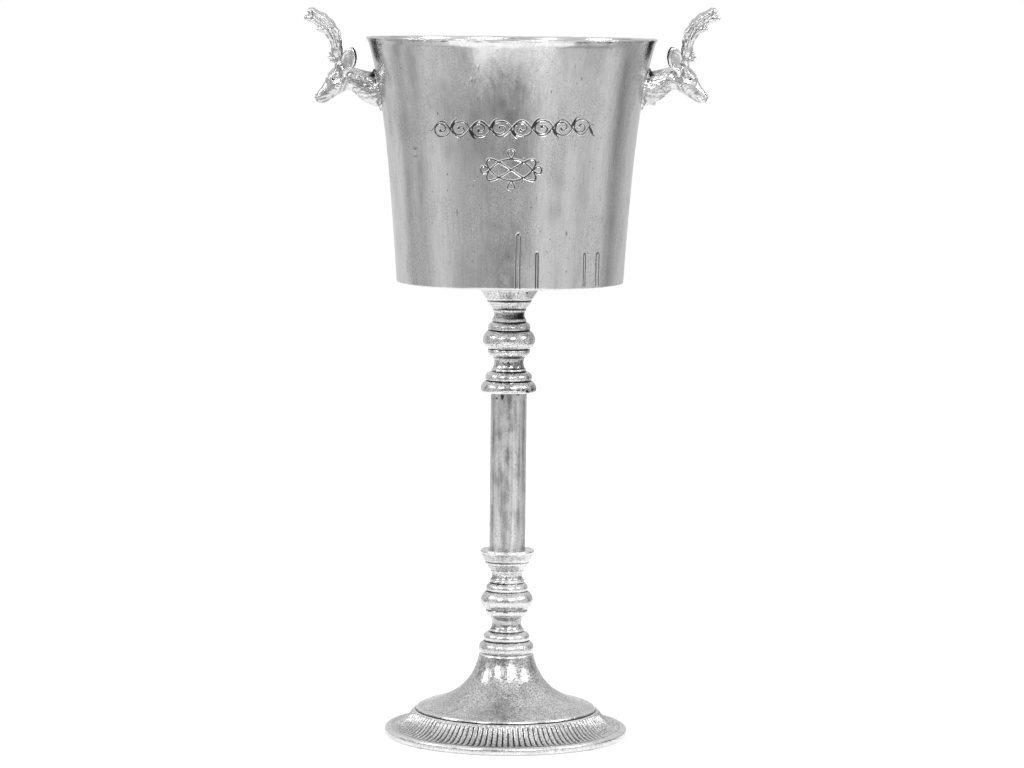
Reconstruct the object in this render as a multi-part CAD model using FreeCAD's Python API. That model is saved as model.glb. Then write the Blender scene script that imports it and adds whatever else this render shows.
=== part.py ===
"""Champagne bucket stand with stag-head handles.

Millimetres, +Z up. The origin is the middle of the foot on the floor, the stem runs up +Z,
the two handles point along +X and -X, and the engraved front of the bucket faces -Y.
Every physical piece is one solid, or one group of identical solids, in its own file.
"""

import FreeCAD
import Part

import math
import os

Vector = FreeCAD.Vector
UP = Vector(0, 0, 1)
SIDEWAYS = Vector(0, 1, 0)

# --- driving sizes: stem heights -------------------------------------------------------------
FOOT_TOP = 88.0
BALUSTER_HEIGHT = 110.0
TUBE_VISIBLE = 166.5
COLLAR_HEIGHT = 4.5
BUCKET_HEIGHT = 256.0

# --- driving sizes: foot -----------------------------------------------------------------------
FOOT_RADIUS = 129.0
FOOT_RIM_WIDTH = 9.0
FLUTE_BAND = 22.4
SHOULDER_STEP_WIDTH = 3.3
SHOULDER_HEIGHT = 29.7
SHOULDER_STEP_DROP = 2.9
RIM_HEIGHT = 9.0
HUB_RADIUS = 28.7
HUB_THICKNESS = 8.0
FOOT_WALL = 4.0
FLUTE_COUNT = 120
FLUTE_DEPTH = 1.0
FLUTE_MARGIN = 1.2
PAD_PROUD = 1.0
PAD_THICKNESS = 2.5
PAD_RADIUS = 4.0
PAD_INSET = 5.2
PAD_COUNT = 4
# The bell from the hub, 0, to the shoulder, 1: the share of the way out and of the way down
BELL = ((0.0, 0.0), (0.023, 0.12), (0.069, 0.271), (0.157, 0.463), (0.279, 0.623), (0.381, 0.713),
        (0.569, 0.827), (0.782, 0.913), (0.919, 0.96), (1.0, 1.0))

# --- driving sizes: stem -----------------------------------------------------------------------
TUBE_RADIUS = 19.05
TUBE_WALL = 2.0
SOCKET_DEPTH = 10.0
SOCKET_CLEARANCE = 0.1
SPIGOT_RADIUS = 12.0
SPIGOT_LENGTH = 4.0
SPIGOT_CLEARANCE = 0.15
ROD_RADIUS = 5.0
ROD_CLEARANCE = 0.5
LOWER_LIP_RADIUS = 29.0
UPPER_LIP_RADIUS = 31.6
LOWER_LIP_ROUND = 2.4
UPPER_LIP_ROUND = 0.4
COLLAR_TOP_RADIUS = 33.0

# --- driving sizes: bucket ---------------------------------------------------------------------
BUCKET_BASE_RADIUS = 119.0
BUCKET_TAPER = 17.8
BUCKET_FLARE = 15.4
BUCKET_WALL = 3.0
BUCKET_FLOOR = 4.0
BASE_EDGE_ROUND = 1.5
INNER_CORNER_ROUND = 6.0
LIP_HEIGHT = 3.6
LIP_PROUD = 0.9

# --- driving sizes: fastenings -----------------------------------------------------------------
NUT_FLATS = 17.0
NUT_HEIGHT = 8.0
ROD_BELOW_NUT = 3.0
FOOT_WASHER_RADIUS = 22.0
FOOT_WASHER_THICKNESS = 2.5
FOOT_WASHER_DISH = 1.0
SPRING_WASHER_RADIUS = 9.0
SPRING_WASHER_THICKNESS = 2.5
SPRING_WASHER_GAP = 2.0
GASKET_THICKNESS = 1.5
GASKET_INSET = 3.0
SEAL_RADIUS = 15.0
SEAL_THICKNESS = 2.5
CLAMP_RADIUS = 14.0
CLAMP_THICKNESS = 2.0
CAP_NUT_HEIGHT = 7.0
CAP_NUT_BORE = 11.5
CAP_DOME_RADIUS = 7.6
SCREW_RADIUS = 2.5
SCREW_CLEARANCE = 0.3
SCREW_HEAD_RADIUS = 4.6
SCREW_HEAD_HEIGHT = 2.8
SCREW_DRIVE_FLATS = 3.0
SCREW_DRIVE_DEPTH = 1.5
SCREW_GRIP = 14.0
SCREW_SPACING = 20.0
WASHER_RADIUS = 6.5
WASHER_THICKNESS = 1.6

# --- driving sizes: stag-head handles ----------------------------------------------------------
HANDLE_BELOW_RIM = 54.5
ANTLER_PEG_RADIUS = 2.6
ANTLER_PEG_LENGTH = 5.0
EAR_SPREAD = 10.0
ANTLER_SPREAD = 7.5

# --- heights worked out from them --------------------------------------------------------------
HUB_UNDERSIDE = FOOT_TOP - HUB_THICKNESS
TUBE_BOTTOM = FOOT_TOP + BALUSTER_HEIGHT
TUBE_TOP = TUBE_BOTTOM + TUBE_VISIBLE
COLLAR_BOTTOM = TUBE_TOP + BALUSTER_HEIGHT
GASKET_BOTTOM = COLLAR_BOTTOM + COLLAR_HEIGHT
BUCKET_BOTTOM = GASKET_BOTTOM + GASKET_THICKNESS
BUCKET_INSIDE = BUCKET_BOTTOM + BUCKET_FLOOR
RIM_TOP = BUCKET_BOTTOM + BUCKET_HEIGHT
FOOT_WASHER_BOTTOM = HUB_UNDERSIDE - FOOT_WASHER_THICKNESS
SPRING_WASHER_BOTTOM = FOOT_WASHER_BOTTOM - SPRING_WASHER_THICKNESS
NUT_BOTTOM = SPRING_WASHER_BOTTOM - NUT_HEIGHT
ROD_BOTTOM = NUT_BOTTOM - ROD_BELOW_NUT
CLAMP_BOTTOM = BUCKET_INSIDE + SEAL_THICKNESS
CAP_NUT_BOTTOM = CLAMP_BOTTOM + CLAMP_THICKNESS
ROD_TOP = CAP_NUT_BOTTOM + CAP_NUT_BORE
ROD_HOLE_RADIUS = ROD_RADIUS + ROD_CLEARANCE
HANDLE_HEIGHT = RIM_TOP - HANDLE_BELOW_RIM


# --- outlines and simple solids ----------------------------------------------------------------
def at(radius, height):
    """A point of an outline that is turned about the Z axis."""
    return Vector(radius, 0, height)


def path(*steps):
    """Edges through the steps: a point is reached in a line, a pair of points by an arc,
    and a longer list by a smooth curve."""
    here = steps[0]
    edges = []
    for step in steps[1:]:
        if isinstance(step, Vector):
            edges.append(Part.LineSegment(here, step).toShape())
            here = step
        elif len(step) == 2:
            edges.append(Part.Arc(here, step[0], step[1]).toShape())
            here = step[1]
        else:
            curve = Part.BSplineCurve()
            curve.interpolate([here] + list(step))
            edges.append(curve.toShape())
            here = step[-1]
    return edges


def turned(*steps):
    """The solid swept by a closed outline about the Z axis."""
    edges = path(*steps, steps[0])
    face = Part.Face(Part.Wire(edges))
    solid = face.revolve(Vector(0, 0, 0), UP, 360)
    return solid


def disc(radius, bottom, height, bore=0.0):
    """A flat ring, or a plain disc with no bore."""
    solid = Part.makeCylinder(radius, height, Vector(0, 0, bottom))
    if bore > 0:
        solid = solid.cut(Part.makeCylinder(bore, height, Vector(0, 0, bottom)))
    return solid


def hexagon(flats, bottom, height):
    """A hexagonal prism, its size given across the flats."""
    corner = flats / math.sqrt(3)
    points = [at(corner, bottom)]
    for turn in range(1, 7):
        angle = turn * math.pi / 3
        points.append(Vector(corner * math.cos(angle), corner * math.sin(angle), bottom))
    return Part.Face(Part.makePolygon(points)).extrude(Vector(0, 0, height))


def chamfered_hexagon(flats, bottom, height):
    """A hexagonal prism whose corners are turned off at both ends, as on a nut."""
    corner = flats / math.sqrt(3)
    slope = corner - flats / 2
    rise = slope * math.tan(math.radians(30))
    top = bottom + height
    barrel = turned(at(0, bottom), at(corner - slope, bottom), at(corner, bottom + rise),
                    at(corner, top - rise), at(corner - slope, top), at(0, top))
    return hexagon(flats, bottom, height).common(barrel)


def around(solid, count, start=0.0):
    """Copies of a solid spaced evenly about the Z axis."""
    copies = []
    for index in range(count):
        copy = solid.copy()
        copy.rotate(Vector(0, 0, 0), UP, start + index * 360 / count)
        copies.append(copy)
    return copies


def mirrored(shape):
    """The same shape on the other side of the stand, at -X."""
    return shape.mirror(Vector(0, 0, 0), Vector(1, 0, 0))


# --- foot --------------------------------------------------------------------------------------
def foot_radii():
    """Radii of the shoulder's edge, and of the fluted band's inner and outer edge."""
    band_outer = FOOT_RADIUS - FOOT_RIM_WIDTH
    band_inner = band_outer - FLUTE_BAND
    return band_inner - SHOULDER_STEP_WIDTH, band_inner, band_outer


def bell_points(hub_radius, hub_height, edge_radius, edge_height):
    """The bell's curve between two corners, from its shares."""
    points = []
    for out, down in BELL:
        radius = hub_radius + out * (edge_radius - hub_radius)
        height = hub_height - down * (hub_height - edge_height)
        points.append(at(radius, height))
    return points


def band_curve(inner, outer, top, bottom):
    """The hollow sweep of the fluted band: steep inside, level where it meets the rim."""
    curve = Part.BezierCurve()
    curve.setPoles([at(inner, top), at((inner + outer) / 2, bottom), at(outer, bottom)])
    return curve


def foot_pads():
    """Round felt pads let into the underside of the foot's rim."""
    pad = Part.makeCylinder(PAD_RADIUS, PAD_THICKNESS, at(FOOT_RADIUS - PAD_INSET, 0))
    return Part.makeCompound(around(pad, PAD_COUNT, 45))


def foot():
    """A thin casting: hub, bell, shoulder, fluted band and a solid rim to stand on."""
    shoulder, band_inner, band_outer = foot_radii()
    band_top = SHOULDER_HEIGHT - SHOULDER_STEP_DROP
    edge_round = 2.0
    rim_bottom = PAD_PROUD
    rim_inner = band_outer - 1.0
    outer = bell_points(HUB_RADIUS, FOOT_TOP, shoulder, SHOULDER_HEIGHT)
    inner = bell_points(HUB_RADIUS - FOOT_WALL, HUB_UNDERSIDE, shoulder, SHOULDER_HEIGHT - FOOT_WALL)
    band_slope = Part.Edge(band_curve(band_inner, band_outer, band_top, RIM_HEIGHT))
    middle = band_slope.valueAt((band_slope.FirstParameter + band_slope.LastParameter) / 2)
    under = Vector(0, 0, -FOOT_WALL)
    body = turned(
        at(0, FOOT_TOP),
        outer[0],
        outer[1:],
        at(band_inner - 1.0, band_top),
        at(band_inner, band_top),
        (middle, at(band_outer, RIM_HEIGHT)),
        at(FOOT_RADIUS - edge_round, RIM_HEIGHT),
        (at(FOOT_RADIUS - 0.3 * edge_round, RIM_HEIGHT - 0.3 * edge_round),
         at(FOOT_RADIUS, RIM_HEIGHT - edge_round)),
        at(FOOT_RADIUS, rim_bottom + edge_round),
        at(FOOT_RADIUS - edge_round, rim_bottom),
        at(rim_inner, rim_bottom),
        at(rim_inner, RIM_HEIGHT - FOOT_WALL),
        (middle + under, at(band_inner, band_top - FOOT_WALL)),
        inner[-1],
        inner[-2::-1],
        at(0, HUB_UNDERSIDE),
    )
    body = body.cut(Part.makeCylinder(ROD_HOLE_RADIUS, FOOT_TOP))
    recess_depth = SPIGOT_LENGTH + SPIGOT_CLEARANCE
    body = body.cut(disc(SPIGOT_RADIUS + SPIGOT_CLEARANCE, FOOT_TOP - recess_depth, recess_depth))
    flute = foot_flute(band_inner, band_outer, band_top)
    body = body.cut(around(flute, FLUTE_COUNT))
    return body.cut(foot_pads())


def foot_flute(band_inner, band_outer, band_top):
    """The V-bottomed groove that is cut down the fluted band, once for each flute."""
    start = at(band_inner + FLUTE_MARGIN, band_top - FLUTE_MARGIN)
    end = at(band_outer - FLUTE_MARGIN, RIM_HEIGHT)
    slope = Part.Edge(band_curve(band_inner, band_outer, band_top, RIM_HEIGHT))
    middle = slope.valueAt((slope.FirstParameter + slope.LastParameter) / 2)
    spine = Part.Wire([Part.Arc(start, middle, end).toShape()])
    tangent = spine.Edges[0].tangentAt(spine.Edges[0].FirstParameter)
    across = Vector(0, FLUTE_DEPTH, 0)
    deep = tangent.cross(across)
    section = Part.makePolygon([start + across, start + deep, start - across, start - deep, start + across])
    return spine.makePipeShell([section], True, False)


# --- stem --------------------------------------------------------------------------------------
def baluster(bottom, lip_radius, lip_round):
    """One turned stem casting: two base rings, a ball between beads and two necks, and a cup."""
    def p(radius, height):
        return at(radius, bottom + height)

    return turned(
        p(0, 0),
        p(28.0, 0),
        (p(29.3, 4.5), p(24.6, 12.0)),
        p(23.6, 12.4),
        (p(24.7, 15.2), p(19.0, 21.8)),
        p(17.6, 22.2),
        (p(18.4, 23.8), p(17.2, 25.2)),
        (p(15.4, 31.0), p(17.6, 37.6)),
        p(18.4, 38.0),
        (p(21.6, 41.0), p(22.3, 45.2)),
        p(21.6, 45.8),
        (p(27.6, 55.3), p(22.6, 65.0)),
        p(21.8, 65.6),
        (p(22.3, 69.6), p(18.6, 74.0)),
        p(17.6, 74.4),
        (p(18.3, 76.2), p(17.2, 78.0)),
        (p(15.9, 81.8), p(17.6, 86.4)),
        p(17.8, 88.0),
        (p(20.4, 91.0), p(23.6, 96.0)),
        p(23.2, 97.0),
        p(24.9, 98.4),
        (p(26.8 + 0.4 * (lip_radius - LOWER_LIP_RADIUS), 103.4),
         p(lip_radius, BALUSTER_HEIGHT - lip_round)),
        p(lip_radius - 0.6 * lip_round, BALUSTER_HEIGHT),
        p(0, BALUSTER_HEIGHT),
    )


def tube_socket(floor):
    """The room that a baluster leaves for the tube's end, SOCKET_DEPTH deep from its floor up."""
    return disc(TUBE_RADIUS + SOCKET_CLEARANCE, floor, SOCKET_DEPTH)


def rod_hole(bottom, top):
    return disc(ROD_HOLE_RADIUS, bottom, top - bottom)


def lower_baluster():
    """Sits on the foot by a spigot and takes the tube's lower end in its cup."""
    body = baluster(FOOT_TOP, LOWER_LIP_RADIUS, LOWER_LIP_ROUND)
    body = body.fuse(disc(SPIGOT_RADIUS, FOOT_TOP - SPIGOT_LENGTH, SPIGOT_LENGTH))
    body = body.cut(tube_socket(TUBE_BOTTOM - SOCKET_DEPTH))
    return body.cut(rod_hole(FOOT_TOP - SPIGOT_LENGTH, TUBE_BOTTOM)).removeSplitter()


def upper_baluster():
    """Takes the tube's upper end in its base and carries the collar on a spigot."""
    body = baluster(TUBE_TOP, UPPER_LIP_RADIUS, UPPER_LIP_ROUND)
    body = body.fuse(disc(SPIGOT_RADIUS, COLLAR_BOTTOM, COLLAR_HEIGHT - SPIGOT_CLEARANCE))
    body = body.cut(tube_socket(TUBE_TOP))
    return body.cut(rod_hole(TUBE_TOP, GASKET_BOTTOM)).removeSplitter()


def column_tube():
    length = TUBE_VISIBLE + 2 * SOCKET_DEPTH
    return disc(TUBE_RADIUS, TUBE_BOTTOM - SOCKET_DEPTH, length, TUBE_RADIUS - TUBE_WALL)


def bucket_collar():
    """Carries the cup's slope on to the bucket's floor."""
    bore = SPIGOT_RADIUS + SPIGOT_CLEARANCE
    return turned(at(bore, COLLAR_BOTTOM), at(UPPER_LIP_RADIUS, COLLAR_BOTTOM),
                  at(COLLAR_TOP_RADIUS, GASKET_BOTTOM), at(bore, GASKET_BOTTOM))


# --- bucket ------------------------------------------------------------------------------------
def wall_radius(height):
    """Outer radius of the bucket's side at a height."""
    share = (height - BUCKET_BOTTOM) / BUCKET_HEIGHT
    return BUCKET_BASE_RADIUS + BUCKET_TAPER * share + (BUCKET_FLARE - LIP_PROUD) * share ** 4


def bucket_envelope(inset, bottom, corner_round):
    """Everything inside the side's curve, from a level up to the rim, with its base edge rounded.

    The side is a straight taper whose last pole is kicked out at the rim to make the flare."""
    poles = []
    for step in range(5):
        share = step / 4
        radius = BUCKET_BASE_RADIUS + BUCKET_TAPER * share - inset
        poles.append(at(radius, BUCKET_BOTTOM + BUCKET_HEIGHT * share))
    poles[-1] += at(BUCKET_FLARE - LIP_PROUD, 0)
    side = Part.BezierCurve()
    side.setPoles(poles)
    edges = [side.toShape()] + path(poles[-1], at(0, RIM_TOP), at(0, BUCKET_BOTTOM), poles[0])
    solid = Part.Face(Part.Wire(edges)).revolve(Vector(0, 0, 0), UP, 360)
    if bottom > BUCKET_BOTTOM:
        solid = solid.cut(disc(2 * BUCKET_BASE_RADIUS, BUCKET_BOTTOM, bottom - BUCKET_BOTTOM))
    base_edges = [edge for edge in solid.Edges if edge.BoundBox.ZMax < bottom + 1]
    return solid.makeFillet(corner_round, base_edges)


def bucket_lip():
    """The thin rolled bead round the rim."""
    lip_radius = wall_radius(RIM_TOP) + LIP_PROUD
    lip_inner = wall_radius(RIM_TOP) - BUCKET_WALL / 2
    lip_bottom = RIM_TOP - LIP_HEIGHT
    return turned(at(lip_inner, lip_bottom), at(wall_radius(lip_bottom) + 0.2, lip_bottom),
                  (at(lip_radius, RIM_TOP - LIP_HEIGHT / 2), at(wall_radius(RIM_TOP), RIM_TOP)),
                  at(lip_inner, RIM_TOP))


def bucket():
    """The pail: a flared wall, a flat floor and the lip, with holes for its fastenings."""
    shell = bucket_envelope(0.0, BUCKET_BOTTOM, BASE_EDGE_ROUND).fuse(bucket_lip())
    shell = shell.cut(bucket_envelope(BUCKET_WALL, BUCKET_INSIDE, INNER_CORNER_ROUND))
    shell = shell.cut(rod_hole(BUCKET_BOTTOM, BUCKET_INSIDE))
    for bore in screw_cylinders(SCREW_RADIUS + SCREW_CLEARANCE, -2 * BUCKET_WALL, 2 * BUCKET_WALL):
        shell = shell.cut([bore, mirrored(bore)])
    return shell


# --- stem fastenings ---------------------------------------------------------------------------
def tie_rod():
    return disc(ROD_RADIUS, ROD_BOTTOM, ROD_TOP - ROD_BOTTOM)


def foot_clamp_washer():
    """A wide washer that bears on the hub only by its outer ring."""
    bearing_ring = 4.0
    return turned(at(ROD_HOLE_RADIUS, FOOT_WASHER_BOTTOM), at(FOOT_WASHER_RADIUS, FOOT_WASHER_BOTTOM),
                  at(FOOT_WASHER_RADIUS, HUB_UNDERSIDE), at(FOOT_WASHER_RADIUS - bearing_ring, HUB_UNDERSIDE),
                  at(FOOT_WASHER_RADIUS - 2 * bearing_ring, HUB_UNDERSIDE - FOOT_WASHER_DISH),
                  at(ROD_HOLE_RADIUS, HUB_UNDERSIDE - FOOT_WASHER_DISH))


def foot_spring_washer():
    """A split ring under the washer."""
    ring = disc(SPRING_WASHER_RADIUS, SPRING_WASHER_BOTTOM, SPRING_WASHER_THICKNESS, ROD_HOLE_RADIUS)
    split = Part.makeBox(SPRING_WASHER_RADIUS, SPRING_WASHER_GAP, SPRING_WASHER_THICKNESS,
                         Vector(0, -SPRING_WASHER_GAP / 2, SPRING_WASHER_BOTTOM))
    return ring.cut(split)


def foot_nut():
    nut = chamfered_hexagon(NUT_FLATS, NUT_BOTTOM, NUT_HEIGHT)
    return nut.cut(disc(ROD_RADIUS, NUT_BOTTOM, NUT_HEIGHT))


def bucket_gasket():
    return disc(COLLAR_TOP_RADIUS - GASKET_INSET, GASKET_BOTTOM, GASKET_THICKNESS, ROD_HOLE_RADIUS)


def bucket_seal_washer():
    return disc(SEAL_RADIUS, BUCKET_INSIDE, SEAL_THICKNESS, ROD_RADIUS)


def bucket_clamp_washer():
    return disc(CLAMP_RADIUS, CLAMP_BOTTOM, CLAMP_THICKNESS, ROD_HOLE_RADIUS)


def bucket_cap_nut():
    """A closed dome nut with a blind thread."""
    nut = chamfered_hexagon(NUT_FLATS, CAP_NUT_BOTTOM, CAP_NUT_HEIGHT)
    skirt_bottom = CAP_NUT_BOTTOM + CAP_NUT_HEIGHT / 2
    dome_bottom = CAP_NUT_BOTTOM + CAP_NUT_HEIGHT
    diagonal = CAP_DOME_RADIUS * math.sqrt(0.5)
    dome = turned(at(0, skirt_bottom), at(CAP_DOME_RADIUS, skirt_bottom), at(CAP_DOME_RADIUS, dome_bottom),
                  (at(diagonal, dome_bottom + diagonal), at(0, dome_bottom + CAP_DOME_RADIUS)))
    return nut.fuse(dome).cut(disc(ROD_RADIUS, CAP_NUT_BOTTOM, CAP_NUT_BORE))


# --- stag-head handles -------------------------------------------------------------------------
def by_wall(out, up, across=0.0):
    """A point of the handle at +X: out from the bucket's wall, up from the handle's middle."""
    return Vector(wall_radius(HANDLE_HEIGHT) + out, across, HANDLE_HEIGHT + up)


def oval(middle, first, second):
    """A closed smooth curve about a middle, with its two half-axes as vectors."""
    points = []
    for step in range(12):
        angle = step * math.pi / 6
        points.append(middle + first * math.cos(angle) + second * math.sin(angle))
    curve = Part.BSplineCurve()
    curve.interpolate(Points=points, PeriodicFlag=True)
    return Part.Wire(curve.toShape())


def upright_oval(low, high, half_width):
    """A section of the neck or head, given by its lowest and highest point and its half-width."""
    return oval((low + high) / 2, (high - low) / 2, SIDEWAYS * half_width)


def limb(sections):
    """A lofted limb. Each section: its middle, its half-width in the plane of the profile, and its
    half-thickness across it."""
    rings = []
    for index, (middle, half_width, half_thickness) in enumerate(sections):
        before = sections[max(index - 1, 0)][0]
        after = sections[min(index + 1, len(sections) - 1)][0]
        along = (after - before).normalize()
        wide = SIDEWAYS.cross(along).normalize()
        thick = along.cross(wide)
        rings.append(oval(middle, wide * half_width, thick * half_thickness))
    return Part.makeLoft(rings, True, False)


def neck_and_face():
    """The neck from inside the wall to the poll, and the face down to the muzzle."""
    sections = (
        (by_wall(-9.0, -22.5), by_wall(-5.0, 18.5), 15.5),
        (by_wall(2.0, -18.0), by_wall(5.0, 19.3), 13.5),
        (by_wall(13.5, -14.5), by_wall(13.5, 20.5), 11.5),
        (by_wall(22.8, -8.0), by_wall(20.5, 22.5), 10.0),
        (by_wall(31.0, -1.0), by_wall(27.0, 25.5), 9.6),
        (by_wall(38.5, -1.5), by_wall(35.5, 28.8), 11.0),
        (by_wall(45.0, -4.0), by_wall(46.5, 27.0), 11.2),
        (by_wall(50.0, -7.8), by_wall(53.8, 19.5), 9.2),
        (by_wall(55.5, -11.0), by_wall(59.0, 9.8), 7.2),
        (by_wall(61.5, -12.8), by_wall(64.5, 1.2), 6.2),
        (by_wall(66.5, -10.6), by_wall(68.2, -4.4), 3.6),
    )
    rings = [upright_oval(low, high, half_width) for low, high, half_width in sections]
    return Part.makeLoft(rings, True, False)


def ear(side):
    """A leaf-shaped ear, raised and turned outwards. side is -1 for the front one."""
    spread = side * EAR_SPREAD
    return limb((
        (by_wall(38.5, 19.5, 0.6 * spread), 4.2, 3.6),
        (by_wall(35.0, 26.0, 1.1 * spread), 6.6, 3.0),
        (by_wall(33.2, 32.5, 1.5 * spread), 8.2, 2.4),
        (by_wall(31.8, 38.5, 1.8 * spread), 5.2, 1.8),
        (by_wall(31.0, 43.0, 1.95 * spread), 0.9, 0.7),
    ))


def antler_line(side):
    """The antler's first two points, which set the seat and the peg."""
    spread = side * ANTLER_SPREAD
    return by_wall(45.8, 29.5, spread), by_wall(46.1, 37.0, 1.2 * spread)


def antler_peg(side, radius):
    """The round peg under the antler, or the hole for it in the head."""
    base, above = antler_line(side)
    return Part.makeCylinder(radius, ANTLER_PEG_LENGTH, base, base - above)


def antler(side):
    """A beam that rises, sweeps outwards and splits into two lobes, with a spur and a brow tine."""
    base, above = antler_line(side)
    spread = side * ANTLER_SPREAD
    beam = limb((
        (base, 4.2, 4.0),
        (above, 4.6, 4.0),
        (by_wall(47.0, 47.0, 1.6 * spread), 5.0, 3.8),
        (by_wall(50.3, 57.0, 2.1 * spread), 5.6, 3.6),
        (by_wall(56.3, 66.0, 2.6 * spread), 6.3, 3.2),
        (by_wall(63.5, 72.8, 3.1 * spread), 6.2, 2.9),
        (by_wall(68.5, 76.8, 3.4 * spread), 4.6, 2.4),
    ))
    upper_lobe = limb((
        (by_wall(58.0, 71.0, 2.7 * spread), 2.6, 2.4),
        (by_wall(63.5, 77.5, 3.2 * spread), 3.2, 2.6),
        (by_wall(68.5, 82.0, 3.6 * spread), 2.6, 2.2),
        (by_wall(70.6, 83.4, 3.7 * spread), 0.9, 0.8),
    ))
    outer_lobe = limb((
        (by_wall(61.0, 67.0, 2.7 * spread), 2.6, 2.4),
        (by_wall(69.0, 72.6, 3.2 * spread), 3.2, 2.6),
        (by_wall(75.0, 76.4, 3.6 * spread), 2.8, 2.2),
        (by_wall(77.6, 77.8, 3.7 * spread), 0.9, 0.8),
    ))
    spur = limb((
        (by_wall(57.5, 66.0, 2.6 * spread), 3.0, 2.6),
        (by_wall(61.8, 64.6, 2.8 * spread), 2.0, 1.9),
        (by_wall(64.8, 63.9, 2.9 * spread), 0.8, 0.8),
    ))
    brow_tine = limb((
        (by_wall(46.5, 33.0, 1.1 * spread), 2.6, 2.6),
        (by_wall(51.5, 34.4 - side * 1.0, 1.3 * spread), 1.9, 1.9),
        (by_wall(55.4, 36.2 - side * 1.8, 1.4 * spread), 0.6, 0.6),
    ))
    return beam.fuse([upper_lobe, outer_lobe, spur, brow_tine, antler_peg(side, ANTLER_PEG_RADIUS)])


def antler_seat(side):
    """The stub on the skull that the antler stands on, flat on top."""
    base, above = antler_line(side)
    along = (above - base).normalize()
    return Part.makeCone(6.0, 4.9, 8.0, base - along * 8.0, along)


def stag_head():
    """The handle at +X: neck, face, ears, eyes and antler seats in one casting."""
    eye_radius = 2.6
    head = neck_and_face()
    for side in (-1, 1):
        eye = Part.makeSphere(eye_radius, by_wall(48.0, 15.5, side * 9.0))
        head = head.fuse([ear(side), antler_seat(side), eye])
    head = head.cut(bucket_envelope(0.0, BUCKET_BOTTOM, BASE_EDGE_ROUND))
    for side in (-1, 1):
        head = head.cut([antler_peg(side, ANTLER_PEG_RADIUS), antler(side)])
    return head.cut(screw_cylinders(SCREW_RADIUS, -2 * BUCKET_WALL, SCREW_GRIP + 1.0))


def screw_places():
    """Where each screw's axis meets the outside of the wall, and the direction out of the wall."""
    slope = wall_radius(HANDLE_HEIGHT + 0.5) - wall_radius(HANDLE_HEIGHT - 0.5)
    outwards = Vector(1, 0, -slope).normalize()
    heights = (HANDLE_HEIGHT - SCREW_SPACING / 2, HANDLE_HEIGHT + SCREW_SPACING / 2)
    return [(at(wall_radius(height), height), outwards) for height in heights]


def screw_cylinders(radius, start, end):
    """A cylinder on each screw's axis, its ends measured from the outside of the wall."""
    cylinders = []
    for place, outwards in screw_places():
        cylinders.append(Part.makeCylinder(radius, end - start, place + outwards * start, outwards))
    return cylinders


def handle_screws():
    """Two button-head screws from inside the bucket into the neck."""
    head_seat = -BUCKET_WALL - WASHER_THICKNESS
    head_top = SCREW_HEAD_HEIGHT - 0.9
    screw = turned(at(0, -SCREW_GRIP + head_seat), at(SCREW_RADIUS, -SCREW_GRIP + head_seat),
                   at(SCREW_RADIUS, 0), at(SCREW_HEAD_RADIUS, 0),
                   (at(SCREW_HEAD_RADIUS * 0.72, head_top), at(0, SCREW_HEAD_HEIGHT)))
    drive_floor = SCREW_HEAD_HEIGHT - SCREW_DRIVE_DEPTH
    screw = screw.cut(hexagon(SCREW_DRIVE_FLATS, drive_floor, 2 * SCREW_DRIVE_DEPTH))
    screws = []
    for place, outwards in screw_places():
        one = screw.copy()
        turn = FreeCAD.Rotation(UP, -outwards)
        one.Placement = FreeCAD.Placement(place + outwards * head_seat, turn)
        screws.append(one)
    return Part.makeCompound(screws)


def handle_washers():
    """A washer under each screw's head, its outer face fitted to the curved wall."""
    cavity = bucket_envelope(BUCKET_WALL, BUCKET_INSIDE, INNER_CORNER_ROUND)
    start = -BUCKET_WALL - WASHER_THICKNESS
    blanks = screw_cylinders(WASHER_RADIUS, start, 0.0)
    bores = screw_cylinders(SCREW_RADIUS + SCREW_CLEARANCE, start, 0.0)
    washers = [blank.common(cavity).cut(bore) for blank, bore in zip(blanks, bores)]
    return Part.makeCompound(washers)


# --- the files ---------------------------------------------------------------------------------
def pieces():
    """Every node's name and shape."""
    yield "foot", foot()
    yield "foot_pads", foot_pads()
    yield "foot_clamp_washer", foot_clamp_washer()
    yield "foot_spring_washer", foot_spring_washer()
    yield "foot_nut", foot_nut()
    yield "tie_rod", tie_rod()
    yield "lower_baluster", lower_baluster()
    yield "column_tube", column_tube()
    yield "upper_baluster", upper_baluster()
    yield "bucket_collar", bucket_collar()
    yield "bucket_gasket", bucket_gasket()
    yield "bucket", bucket()
    yield "bucket_seal_washer", bucket_seal_washer()
    yield "bucket_clamp_washer", bucket_clamp_washer()
    yield "bucket_cap_nut", bucket_cap_nut()
    handle = {
        "stag_head": stag_head(),
        "front_antler": antler(-1),
        "rear_antler": antler(1),
        "handle_screws": handle_screws(),
        "handle_washers": handle_washers(),
    }
    for name, shape in handle.items():
        yield "right_" + name, shape
        yield "left_" + name, mirrored(shape)


os.makedirs("parts", exist_ok=True)
for node, shape in pieces():
    shape.exportStep("parts/" + node + ".step")
    print(node, len(shape.Solids), "solids", round(shape.Volume / 1000, 2), "cm3", shape.isValid())
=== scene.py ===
"""The looks of the champagne bucket stand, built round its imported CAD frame.

Shapes are worked out in millimetres and turned into metres when a mesh is made. The row frame
is the CAD's: +Z up the stem, handles along +X and -X, the engraved front faces -Y.
"""

import math

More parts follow.
